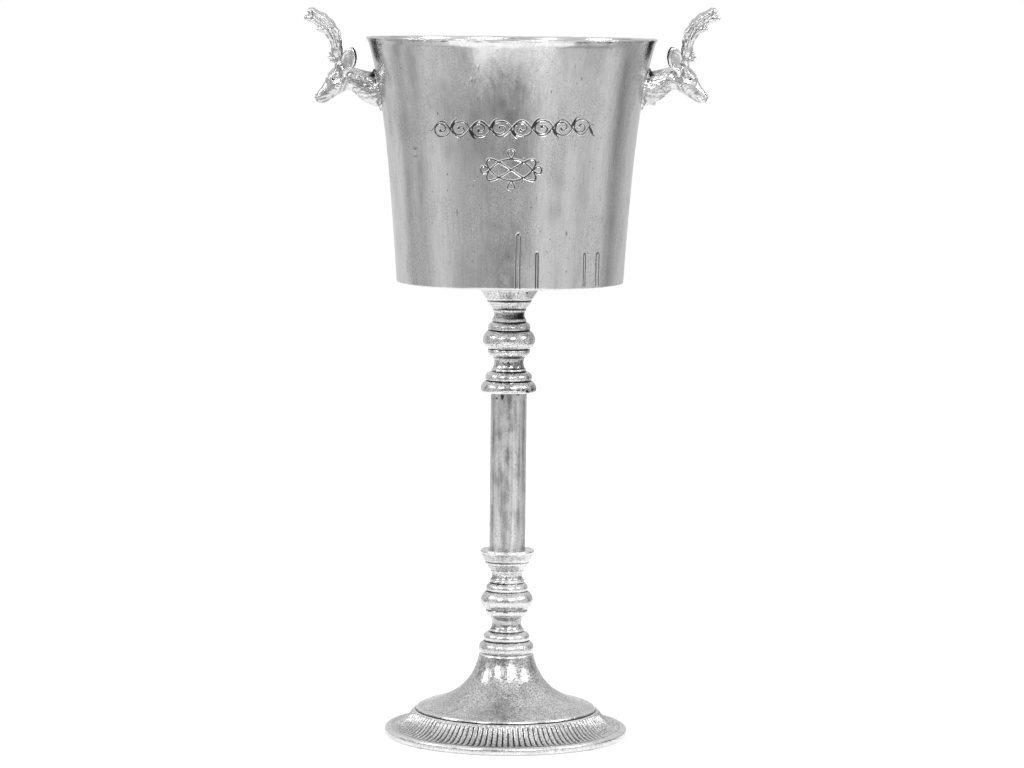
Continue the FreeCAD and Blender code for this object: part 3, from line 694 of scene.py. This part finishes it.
# The neck's sections: how far out, then its top, its bottom and half its width
NECK = ((-6, 15.0, -21.6, 14.8), (-1, 16.0, -19.8, 14.4), (4, 17.6, -18.2, 13.6), (9, 18.0, -16.8, 12.3),
        (16, 19.2, -13.4, 11.0), (23, 21.0, -7.2, 10.3), (28, 22.0, -2.6, 10.0), (33, 22.4, -1.2, 9.8),
        (39, 21.5, -1.4, 9.4))
# The skull from the crown to the muzzle: out, up and radius
SKULL = (41.0, 11.8, 10.8), (45.6, 6.0, 9.8), (53.8, -3.4, 7.0), (60.8, -9.2, 6.3)
SKULL_WIDTH = 0.88
EYE = 46.2, 8.3, 11.0
NOSTRIL = 64.6, 3.2, -7.2
MOUTH = (67.6, -12.0), (55.0, -9.2)
EAR_ROOT = np.array((36.2, 8.0, 17.6))
EAR_TIP = np.array((28.2, 19.0, 41.4))
EAR_FACING = np.array((0.50, 0.86, -0.1))
EAR_POINT = 4.0
ANTLER_SEAT = 42.4, 7.4, 25.2
# The antler's beam: out, across, up and radius
BEAM = ((42.2, 7.5, 25.4, 3.6), (42.8, 8.8, 32.0, 4.0), (44.4, 11.4, 40.0, 4.9), (45.4, 14.2, 48.6, 5.1),
        (48.2, 17.2, 57.2, 6.0), (54.2, 20.2, 65.4, 6.6), (61.6, 22.8, 71.8, 6.3), (67.4, 24.8, 75.8, 5.2))
BEAM_FLATNESS = 0.62
# Each tine's start and end, as above
TINES = (
    ((66.0, 24.3, 75.5, 5.0), (70.2, 26.4, 80.0, 3.8)),
    ((67.0, 24.6, 73.0, 4.6), (74.6, 28.4, 73.6, 3.0)),
    ((54.5, 19.0, 61.0, 4.4), (62.4, 23.4, 61.8, 2.4)),
    ((43.4, 8.6, 29.6, 3.4), (52.6, 11.2, 32.2, 1.4)),
    ((43.6, 8.8, 31.0, 3.0), (51.0, 9.6, 36.6, 1.3)),
    ((43.2, 8.6, 28.8, 2.8), (50.4, 10.4, 28.6, 1.3)),
)
PALM_HOLLOW = ((44.8, 13.0, 43.0), (46.6, 16.2, 53.0), (51.4, 19.4, 62.0), (59.0, 22.4, 69.0),
               (66.4, 24.4, 73.6))


def grid_over(low_corner, high_corner):
    """The three axes of a grid of samples, shaped so that they broadcast together."""
    axes = [np.arange(a, b, VOXEL, dtype=np.float32) for a, b in zip(low_corner, high_corner)]
    return [axis.reshape([-1 if k == n else 1 for k in range(3)]) for n, axis in enumerate(axes)]


def joined(a, b, round_over):
    """Two distances made into one surface with a fillet between them."""
    share = np.maximum(round_over - np.abs(a - b), 0) / round_over
    return np.minimum(a, b) - share * share * round_over / 4


def carved(a, b, round_over):
    """The first solid with the second taken out of it."""
    return -joined(-a, b, round_over)


def limb(grid, start, end, flatness=1.0):
    """Distance to a tapered rod with round ends, each (out, across, up, radius), thinner across."""
    start, end = np.array(start, float), np.array(end, float)
    along = end[:3] - start[:3]
    share = sum((axis - start[k]) * along[k] for k, axis in enumerate(grid)) / np.dot(along, along)
    share = np.clip(share, 0, 1)
    away = [axis - start[k] - share * along[k] for k, axis in enumerate(grid)]
    radius = start[3] + share * (end[3] - start[3])
    return np.sqrt(away[0] ** 2 + (away[1] / flatness) ** 2 + away[2] ** 2) - radius


def slab(grid, centre, along, up, sizes):
    """Rough distance to an ellipsoid, its half sizes along, up and the way square to both."""
    along = along / np.linalg.norm(along)
    square = np.cross(along, up)
    square /= np.linalg.norm(square)
    up = np.cross(square, along)
    parts = [sum((axis - centre[k]) * way[k] for k, axis in enumerate(grid)) / size
             for way, size in zip((along, up, square), sizes)]
    near = np.sqrt(sum(part * part for part in parts))
    steep = np.sqrt(sum((part / size) ** 2 for part, size in zip(parts, sizes)))
    return near * (near - 1) / np.maximum(steep, 1e-6)


def ball(grid, centre, radius):
    return np.sqrt(sum((axis - centre[k]) ** 2 for k, axis in enumerate(grid))) - radius


def neck(grid):
    out, top, bottom, width = np.array(NECK).T
    x, y, z = grid
    top, bottom, width = (np.interp(x.ravel(), out, size).reshape(x.shape) for size in (top, bottom, width))
    half = (top - bottom) / 2
    away = np.sqrt((y / width) ** 2 + ((z - bottom - half) / half) ** 2)
    side = (away - 1) * np.minimum(half, width)
    return np.maximum(side, np.maximum(x - out[-1], out[0] - x))


def face(grid):
    links = [(out, 0.0, up, radius) for out, up, radius in SKULL]
    skull = limb(grid, links[0], links[1], SKULL_WIDTH)
    for start, end in zip(links[1:], links[2:]):
        skull = joined(skull, limb(grid, start, end, SKULL_WIDTH), 4.0)
    cheek = slab(grid, (42.8, 4.0, 4.0), (0.6, 0, -0.8), (0, 1, 0), (9.5, 6.3, 7.0))
    skull = joined(skull, cheek, 5.0)
    jaw = limb(grid, (56.8, 0, -10.4, 4.6), (42.6, 0, 2.6, 7.6), SKULL_WIDTH)
    skull = joined(skull, jaw, 3.0)
    forehead = slab(grid, (46.2, 0, 12.0), (0.54, 0, -0.84), (0, 1, 0), (10.0, 7.8, 6.6))
    return joined(skull, forehead, 3.0)


def ear(grid):
    """A pointed leaf of an ear, hollowed on the side that it turns outwards."""
    along = EAR_TIP - EAR_ROOT
    length = np.linalg.norm(along) / 2
    along = along / (2 * length)
    middle = (EAR_ROOT + EAR_TIP) / 2
    opening = ear_opening(along)
    broad = np.cross(along, opening)
    leaf = bowl = -np.inf
    for side in (-EAR_POINT, EAR_POINT):
        centre = middle + side * broad
        leaf = np.maximum(leaf, slab(grid, centre, along, opening, (length + 2.0, 3.2, 8.8 + EAR_POINT)))
        bowl = np.maximum(bowl, slab(grid, centre + 2.3 * opening + 0.4 * along, along, opening,
                                     (length - 0.4, 3.0, 7.2 + EAR_POINT)))
    stalk = limb(grid, (*(EAR_ROOT - 3 * along), 4.2), (*(EAR_ROOT + 5 * along), 3.6))
    return carved(joined(leaf, stalk, 3.0), bowl, 0.8)


def ear_opening(along):
    """The way the ear's bowl faces, square to its length."""
    facing = EAR_FACING - along * np.dot(EAR_FACING, along)
    return facing / np.linalg.norm(facing)


def traced_line(grid, start, end):
    """Distance from a line drawn in the side view, seen from straight across."""
    flat = grid[0], np.zeros((1, 1, 1)), grid[2]
    return limb(flat, (start[0], 0, start[1], 0), (end[0], 0, end[1], 0))


def head_field():
    """The whole head as distances; across is taken without its sign, so both sides match."""
    grid = grid_over((-6.5, -24.5, -26.0), (73.0, 24.5, 46.5))
    half = [grid[0], np.abs(grid[1]), grid[2]]
    field = joined(neck(half), face(half), 5.0)
    brow = limb(half, (43.6, 8.0, 16.0, 2.4), (50.6, 6.6, 10.4, 1.8))
    field = joined(field, brow, 2.5)
    socket = slab(half, EYE, (0.75, 0, -0.55), (0, 1, 0), (3.4, 1.8, 1.7))
    field = carved(field, socket, 1.0)
    field = joined(field, ball(half, (EYE[0] + 0.2, EYE[1] - 1.2, EYE[2]), 1.9), 0.3)
    field = field + 0.7 * np.exp(-(traced_line(half, *MOUTH) / 0.75) ** 2) * (half[0] > MOUTH[1][0] - 1)
    field = carved(field, slab(half, NOSTRIL, (0.6, 0, -0.7), (0.5, 0.8, 0), (1.5, 1.3, 0.9)), 0.5)
    for out in (36.0, 31.5):
        crease = np.exp(-(traced_line(half, (out, 12.0), (out + 4.0, -5.0)) / 1.0) ** 2)
        field = field + 0.6 * crease
    field = joined(field, ear(half), 2.0)
    seat = limb(half, (41.6, 6.2, 16.0, 5.0), (*ANTLER_SEAT, 4.0))
    field = joined(field, seat, 2.5)
    off_wall = half[0] + HANDLE_WALL - np.sqrt(wall_radius(half[2] + HANDLE_HEIGHT) ** 2 - half[1] ** 2)
    ruff = np.sqrt((off_wall - 1.0) ** 2 + neck(half) ** 2 * 0.7) - 2.0
    field = joined(field, ruff, 1.5)
    return grid, np.maximum(field, -BUCKET_WALL / 2 - off_wall)


def antler_field():
    grid = grid_over((37.0, 0.0, 20.0), (80.5, 36.0, 86.0))
    field = None
    for start, end in zip(BEAM, BEAM[1:]):
        link = limb(grid, start, end, BEAM_FLATNESS)
        field = link if field is None else joined(field, link, 3.0)
    for start, end in TINES:
        field = joined(field, limb(grid, start, end, 0.75), 1.2)
    burr = slab(grid, (ANTLER_SEAT[0], ANTLER_SEAT[1] + 0.4, ANTLER_SEAT[2] + 2.6), (0, 0.25, 1), (1, 0, 0),
                (1.4, 4.8, 4.6))
    field = joined(field, burr, 1.0)
    for start, end in zip(PALM_HOLLOW, PALM_HOLLOW[1:]):
        for shift in (-1.7, 2.1):
            a = (start[0] + shift, start[1] + 4.2, start[2] - shift * 0.6, 1.5)
            b = (end[0] + shift, end[1] + 4.2, end[2] - shift * 0.6, 1.5)
            field = carved(field, limb(grid, a, b), 1.0)
    return grid, field


def meshed(grid, field):
    """The zero surface of a field of distances, with its sharpest steps smoothed."""
    volume = openvdb.FloatGrid()
    volume.copyFromArray(np.ascontiguousarray(field, dtype=np.float32))
    points, quads = volume.convertToQuads(isovalue=0.0)
    origin = np.array([axis.ravel()[0] for axis in grid])
    quads = quads.astype(np.int64)
    return neighbour_means(points.astype(float) * VOXEL + origin, quads, 1), quads


def hair(points, along, cell, seed):
    """Noise drawn out along a direction in the side view."""
    along = np.array(along) / np.linalg.norm(along)
    ways = np.array((along, (0, 1, 0), (-along[2], 0, along[0])))
    return noise(points @ ways.T, cell, seed)


DOWN_FACE = 0.72, 0, -0.69


def head_shape():
    """The head's mesh in its handle's directions, with hair and chased lines cut into it."""
    points, quads = meshed(*head_field())
    out, across, up = points.T
    on_face = ease(out + 0.5 * up, 42, 48)
    on_ear = ease(up, 24, 28) * (1 - ease(out, 40, 42))
    coat = hair(points, (0.9, 0, 0.42), (8, 1.7, 1.7), 81)
    coat = coat + 0.5 * hair(points, (0.9, 0, 0.3), (4, 0.9, 0.9), 82)
    short = hair(points, DOWN_FACE, (5, 1.4, 1.4), 83)
    lines = 1 - np.abs(hair(points, DOWN_FACE, (9, 3.0, 3.0), 84)) * 3.5
    forehead = ease(up - 1.1 * (60 - out), -2, 3) * (1 - ease(np.abs(across), 6.5, 8.5)) * on_face
    near_wall = 1 - ease(out, 4, 7)
    rise = 0.36 * coat * (1 - on_face) * (1 - on_ear) + 0.16 * short * on_face
    rise = rise + 0.45 * forehead * np.clip(lines, 0, 1)
    rise = rise + 0.9 * near_wall * noise(points, 3.4, 85)
    rise = rise + 0.12 * layered(points, 2.6, 2, 87)
    return points + rise[:, None] * face_normals(points, quads), quads


def antler_shape():
    """One antler's mesh, on the side where across is positive, its horn grooved lengthways."""
    points, quads = meshed(*antler_field())
    beam = through([link[:3] for link in BEAM], 1.0)
    nearest = np.argmin([np.sum((points - place) ** 2, axis=1) for place in beam], axis=0)
    off = points - beam[nearest]
    off /= np.linalg.norm(off, axis=1, keepdims=True)
    lengthways = np.column_stack((off * 3.0, nearest * 0.09))[:, (0, 1, 3)] + (0, 0, 7)
    grooves = noise(lengthways, 1.0, 91) + 0.5 * noise(lengthways * 2, 1.0, 93)
    rise = 0.42 * grooves + 0.1 * layered(points, 3.2, 2, 92)
    return points + rise[:, None] * face_normals(points, quads), quads


# How dark the painted shade is behind the ears and on the antlers' roots, and how dark the painted shade is
# in the corner by the wall
PAINTED_SHADE_DEPTH = 1.3
CORNER_SHADE_DEPTH = 1.2
# The way that the side of an antler's root with painted shade faces
ROOT_BACK = np.array((-0.7, -0.7, 0))


def head_painted_shade(points, quads):
    """Painted shade: darkening behind the ears, over the neck by the wall and, fainter, behind
    the ear's root."""
    out, across, up = points.T
    facing = face_normals(points, quads)
    facing[:, 1] *= np.sign(across)
    behind_ear = ease(up, 21, 25) * (1 - ease(out, 38, 40)) * ease(-facing @ EAR_FACING, 0.1, 0.6)
    by_wall = ease(up, 3, 9) * (1 - ease(out, 5, 15))
    by_ear = ease(up, 10, 15) * (1 - ease(up, 18, 22)) * (1 - ease(np.abs(out - 26), 2, 8))
    ragged = 0.6 + 0.5 * noise(points, 3.5, 86)
    return PAINTED_SHADE_DEPTH * behind_ear + CORNER_SHADE_DEPTH * np.clip(by_wall + 0.45 * by_ear, 0, 1) * ragged


def antler_painted_shade(points, quads):
    """Painted shade on the side of the antler's root that is turned in and back."""
    facing = face_normals(points, quads) @ ROOT_BACK
    return PAINTED_SHADE_DEPTH * ease(facing, 0.2, 0.7) * (1 - ease(points[:, 2], 44, 56))


def placed(shape, side, front):
    """A shape moved on to the bucket: side is 1 for the right handle and -1 for the left, and
    front is 1 to keep its across direction and -1 to turn it over."""
    points, quads = shape
    points = points + (HANDLE_WALL, 0, HANDLE_HEIGHT + (RIGHT_LIFT if side > 0 else 0))
    return points * (side, front, 1), quads if side * front > 0 else quads[:, ::-1]


def handles(material):
    """Both heads and the four antlers."""
    head, antler = head_shape(), antler_shape()
    # The heads' hollowness with painted shade added, which the material turns dark
    head_hollow_and_shade = hollowness(*head) + head_painted_shade(*head)
    # The antlers' hollowness with painted shade added, which the material turns dark
    antler_hollow_and_shade = hollowness(*antler) + antler_painted_shade(*antler)
    for word, side in (("right", 1), ("left", -1)):
        points, quads = placed(head, side, 1)
        make_piece(word + "_stag_head_cast", points, quads, head_hollow_and_shade, material, "handle_casting",
                   word + "_stag_head")
        for place, front in (("front", -1), ("rear", 1)):
            points, quads = placed(antler, side, front)
            make_piece(f"{word}_{place}_antler_cast", points, quads, antler_hollow_and_shade, material,
                       "handle_casting", f"{word}_{place}_antler")


# --- materials ---
def new_material(name):
    material = bpy.data.materials.new(name)
    material.use_nodes = True
    return material, material.node_tree, material.node_tree.nodes["Principled BSDF"]


def node(tree, kind, inputs, **settings):
    """Adds a node. An input that is another node's socket is linked, and any other is a value."""
    made = tree.nodes.new(kind)
    for key, value in settings.items():
        setattr(made, key, value)
    for key, value in inputs.items():
        if isinstance(value, bpy.types.NodeSocket):
            tree.links.new(value, made.inputs[key])
        else:
            made.inputs[key].default_value = value
    return made


def cloud(tree, size, detail=2.0, stretch=(1, 1, 1)):
    """Noise from 0 to 1 with features of about that many millimetres, longer where stretch is small."""
    place = node(tree, "ShaderNodeTexCoord", {}).outputs["Object"]
    place = node(tree, "ShaderNodeMapping", {"Vector": place, "Scale": stretch}).outputs[0]
    return node(tree, "ShaderNodeTexNoise", {"Vector": place, "Scale": 1 / (size * MM), "Detail": detail,
                                             "Roughness": 0.6}).outputs["Fac"]


def spread(tree, value, start, end, low=0.0, high=1.0):
    """The value moved from the range start to end on to the range low to high."""
    return node(tree, "ShaderNodeMapRange", {0: value, 1: start, 2: end, 3: low, 4: high}).outputs[0]


def sums(tree, operation, a, b):
    return node(tree, "ShaderNodeMath", {0: a, 1: b}, operation=operation).outputs[0]


def mixed(tree, share, a, b):
    """Colour a where share is 0 and colour b where it is 1."""
    return node(tree, "ShaderNodeMix", {0: share, 6: a, 7: b}, data_type="RGBA").outputs[2]


def grey(level, warmth=0.0):
    return (level * (1 + warmth), level, level * (1 - warmth), 1.0)


def cavity_of(tree):
    """How hollow the surface is, as the mesh carries it; on the heads and antlers painted shade is added to
    it.
    """
    return node(tree, "ShaderNodeAttribute", {}, attribute_name="cavity").outputs["Fac"]


def plus(tree, value, other, share):
    """The value with a share of another added."""
    return sums(tree, "ADD", value, sums(tree, "MULTIPLY", other, share))


def dress(tree, shader, colour, roughness, relief, strength, depth, metallic=1.0):
    """Joins a colour, a roughness and a relief that is depth millimetres high to a shader."""
    bump = node(tree, "ShaderNodeBump", {"Height": relief, "Strength": strength, "Distance": depth * MM})
    for socket, value in (("Base Color", colour), ("Roughness", roughness), ("Normal", bump.outputs[0])):
        tree.links.new(value, shader.inputs[socket])
    shader.inputs["Metallic"].default_value = metallic


def cast_metal(name, dark, light, roughness, grain, grain_size, patina_and_shade):
    """Bright cast aluminium: clouded, grained, stained where it is hollow, darkened by painted shade where
    the heads' and antlers' cavity carries it, and lighter on edges, partly rubbed wear and partly a painted
    highlight.
    """
    material, tree, shader = new_material(name)
    cavity = cavity_of(tree)
    wide = cloud(tree, 42, 3, (1, 1, 0.55))
    patches = cloud(tree, 8, 3, (1, 1, 0.7))
    speckle = cloud(tree, grain_size, 2)
    tone = plus(tree, sums(tree, "MULTIPLY", wide, 0.62), patches, 0.38)
    metal = mixed(tree, spread(tree, tone, 0.36, 0.64), grey(dark), grey(light))
    speckled = mixed(tree, spread(tree, speckle, 0.4, 0.56, grain, 0.0), metal, grey(0.16))
    # Patina in the hollows; on the heads and antlers also painted shade behind the ears, by the wall and on
    # the antler roots
    stain = plus(tree, cavity, patches, 0.5)
    stained = mixed(tree, spread(tree, stain, 0.5, 1.1, 0.0, patina_and_shade), speckled, grey(0.02, 0.04))
    # Painted highlight on edges and bumps, along with real rubbed wear
    worn_and_highlit = mixed(tree, spread(tree, cavity, -0.15, -0.85, 0.0, 0.6), stained, grey(0.9))
    dull = spread(tree, plus(tree, patches, speckle, 0.5), 0.55, 0.95,
                  roughness - 0.12, roughness + 0.12)
    dress(tree, shader, worn_and_highlit, dull, plus(tree, speckle, cloud(tree, 2.4, 2), 0.8), 0.55, 0.12)
    return material


def drawn_metal(name, dark, light, roughness, streak_size, patch_size, grain):
    """Metal worked lengthways, so its streaks run up and down, rough and grained only in patches."""
    material, tree, shader = new_material(name)
    streaks = cloud(tree, streak_size, 4, (1, 1, 0.035))
    patches = cloud(tree, patch_size, 4, (1, 1, 0.5))
    speckle = cloud(tree, 0.9, 2)
    tone = plus(tree, sums(tree, "MULTIPLY", streaks, 0.5), patches, 0.5)
    metal = mixed(tree, spread(tree, tone, 0.38, 0.62), grey(dark), grey(light))
    rough_patch = spread(tree, patches, 0.5, 0.62, 0.25 * grain, grain)
    grained = sums(tree, "MULTIPLY", spread(tree, speckle, 0.4, 0.56, 1.0, 0.0), rough_patch)
    speckled = mixed(tree, grained, metal, grey(0.14))
    pits = mixed(tree, spread(tree, cloud(tree, 2.6, 1), 0.72, 0.76, 0.0, 0.6), speckled, grey(0.05))
    stained = mixed(tree, spread(tree, cavity_of(tree), 0.1, 0.6, 0.0, 0.92), pits, grey(0.03, 0.04))
    dull = spread(tree, patches, 0.42, 0.64, roughness - 0.04, roughness + 0.14)
    dress(tree, shader, stained, dull, plus(tree, speckle, streaks, 1.5), 0.45, 0.1)
    return material


def plated_metal(name, colour, roughness, stain):
    """Machined and plated fastenings, with fine turning lines and a little dulling."""
    material, tree, shader = new_material(name)
    patches = cloud(tree, 3.5, 3)
    stained = mixed(tree, spread(tree, patches, 0.4, 0.72, 0.0, stain), colour, grey(0.2, 0.05))
    dull = spread(tree, patches, 0.3, 0.7, roughness - 0.07, roughness + 0.1)
    dress(tree, shader, stained, dull, cloud(tree, 0.5, 2, (0.2, 0.2, 3.0)), 0.4, 0.05)
    return material


def soft_material(name, dark, light, size, depth, roughness):
    """Rubber or felt, by the size and depth of its grain."""
    material, tree, shader = new_material(name)
    fibres = cloud(tree, size, 4)
    colour = mixed(tree, spread(tree, fibres, 0.35, 0.65), dark, light)
    dull = spread(tree, fibres, 0.3, 0.7, roughness - 0.08, roughness + 0.05)
    dress(tree, shader, colour, dull, fibres, 0.8, depth, metallic=0.0)
    return material


def finish_fastenings():
    """Materials for the CAD nodes that are shown as they are."""
    zinc = plated_metal("zinc_plate", (0.62, 0.63, 0.66, 1), 0.34, 0.5)
    nickel = plated_metal("nickel_plate", (0.74, 0.71, 0.67, 1), 0.2, 0.25)
    rubber = soft_material("black_rubber", grey(0.018), grey(0.045), 1.2, 0.05, 0.7)
    felt = soft_material("grey_felt", grey(0.42, 0.03), grey(0.62, 0.03), 0.7, 0.3, 0.92)
    finishes = {
        zinc: ("foot_clamp_washer", "foot_spring_washer", "foot_nut", "tie_rod", "bucket_clamp_washer",
               "right_handle_screws", "left_handle_screws", "right_handle_washers", "left_handle_washers"),
        nickel: ("bucket_cap_nut",),
        rubber: ("bucket_gasket", "bucket_seal_washer"),
        felt: ("foot_pads",),
    }
    for material, nodes in finishes.items():
        for name in nodes:
            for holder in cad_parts[name].material_slots:
                holder.material = material


# --- floor, light and camera ---
FLOOR = (-0.75, -1.42), (0.75, 6.0)
FLOOR_GLOW = 0.35
CEILING = 0.94
# How bright the room's wall is, by degrees round from the camera's side towards +X
WALLS = ((-180, 0.88), (-148, 0.76), (-127, 0.86), (-112, 0.38), (-104, 0.78), (-97, 0.42), (-88, 0.66),
         (-78, 0.84), (-68, 0.82), (-52, 0.61), (-42, 0.50), (-30, 0.51), (-18, 0.42), (-8, 0.28), (4, 0.30),
         (13, 0.46), (21, 0.56), (31, 0.88), (38, 0.90), (46, 0.70), (58, 0.90), (70, 0.64), (80, 0.72),
         (92, 0.88), (101, 0.74), (114, 0.29), (124, 0.46), (136, 0.68), (161, 0.70), (180, 0.88))
# Each soft box: degrees round as above, width, height and brightness
SOFT_BOXES = (-82, 0.50, 0.50, 12.0), (-34, 0.46, 0.50, 12.0), (21, 0.60, 0.60, 12.0), (75, 0.50, 0.50, 14.0)
BOX_DISTANCE = 2.2
BOX_HEIGHT = 1.6
BOX_TARGET = Vector((0, 0, 0.45))
CAMERA_PLACE = 0.00336, -4.162, 0.7837
CAMERA_PITCH = math.radians(-5.635)
CAMERA_ROLL = math.radians(0.55)
LENS = 139.6


def pale_floor():
    """A pale plain floor that a little light of its own keeps close to white."""
    mesh = bpy.data.meshes.new("floor")
    (left, front), (right, back) = FLOOR
    corners = [(left, front, 0), (right, front, 0), (right, back, 0), (left, back, 0)]
    mesh.from_pydata(corners, [], [(0, 1, 2, 3)])
    material, _, shader = new_material("pale_floor")
    shader.inputs["Base Color"].default_value = grey(0.86)
    shader.inputs["Roughness"].default_value = 0.9
    shader.inputs["Emission Color"].default_value = grey(1.0)
    shader.inputs["Emission Strength"].default_value = FLOOR_GLOW
    mesh.materials.append(material)
    floor = add_object("floor", mesh)


def soft_boxes():
    for number, (degrees, width, height, brightness) in enumerate(SOFT_BOXES):
        lamp = bpy.data.lights.new(f"soft_box_{number}", "AREA")
        lamp.shape = "RECTANGLE"
        lamp.size, lamp.size_y = width, height
        lamp.energy = brightness * math.pi * width * height
        holder = add_object(lamp.name, lamp)
        turn = math.radians(degrees)
        place = Vector((BOX_DISTANCE * math.sin(turn), -BOX_DISTANCE * math.cos(turn), BOX_HEIGHT))
        holder.location = place
        holder.rotation_euler = (BOX_TARGET - place).to_track_quat("-Z", "Y").to_euler()


def pale_room():
    """A white room with softly lit and unlit stretches of wall, plain white behind the object."""
    world = bpy.data.worlds.new("room")
    world.use_nodes = True
    tree = world.node_tree
    tree.nodes.clear()
    way = node(tree, "ShaderNodeSeparateXYZ", {0: node(tree, "ShaderNodeTexCoord", {}).outputs["Generated"]})
    back = sums(tree, "MULTIPLY", way.outputs[1], -1.0)
    turn = spread(tree, sums(tree, "ARCTAN2", way.outputs[0], back), -math.pi, math.pi)
    walls = node(tree, "ShaderNodeValToRGB", {"Fac": turn})
    walls.color_ramp.interpolation = "EASE"
    stops = walls.color_ramp.elements
    while len(stops) < len(WALLS):
        stops.new(0.5)
    for stop, (degrees, light) in zip(stops, WALLS):
        stop.position = degrees / 360 + 0.5
        stop.color = grey(light)
    ceiling = spread(tree, way.outputs[2], 0.3, 0.7)
    light = mixed(tree, ceiling, walls.outputs[0], grey(CEILING))
    room = node(tree, "ShaderNodeBackground", {"Color": light, "Strength": 1.0})
    white = node(tree, "ShaderNodeBackground", {"Color": grey(1.0), "Strength": 1.0})
    seen = node(tree, "ShaderNodeLightPath", {}).outputs["Is Camera Ray"]
    mix = node(tree, "ShaderNodeMixShader", {0: seen, 1: room.outputs[0], 2: white.outputs[0]})
    node(tree, "ShaderNodeOutputWorld", {"Surface": mix.outputs[0]})
    bpy.context.scene.world = world


def studio():
    pale_floor()
    soft_boxes()
    pale_room()
    camera = bpy.data.cameras.new("camera")
    camera.lens = LENS
    holder = add_object("camera", camera)
    holder.matrix_world = (Matrix.Translation(CAMERA_PLACE)
                           @ Matrix.Rotation(math.pi / 2 + CAMERA_PITCH, 4, "X")
                           @ Matrix.Rotation(CAMERA_ROLL, 4, "Z"))
    bpy.context.scene.camera = holder
    bpy.context.scene.view_settings.view_transform = "Standard"


# --- the whole stand ---
stem_metal = cast_metal("stem_cast_aluminium", 0.50, 0.88, 0.24, 0.85, 1.25, 1.0)
bucket_metal = drawn_metal("bucket_aluminium", 0.62, 0.74, 0.18, 2.6, 34, 0.5)
handle_metal = cast_metal("handle_cast_aluminium", 0.50, 0.88, 0.24, 0.5, 0.8, 1.0)

foot(stem_metal)
baluster("lower_baluster_cast", FOOT_TOP, LOWER_LIP, True, stem_metal, 13)
tube(drawn_metal("tube_drawn_aluminium", 0.36, 0.86, 0.28, 3.2, 11, 0.6))
baluster("upper_baluster_cast", UPPER_BOTTOM, UPPER_LIP, False, stem_metal, 23)
collar(stem_metal)
bucket(bucket_metal)
handles(handle_metal)
finish_fastenings()
studio()
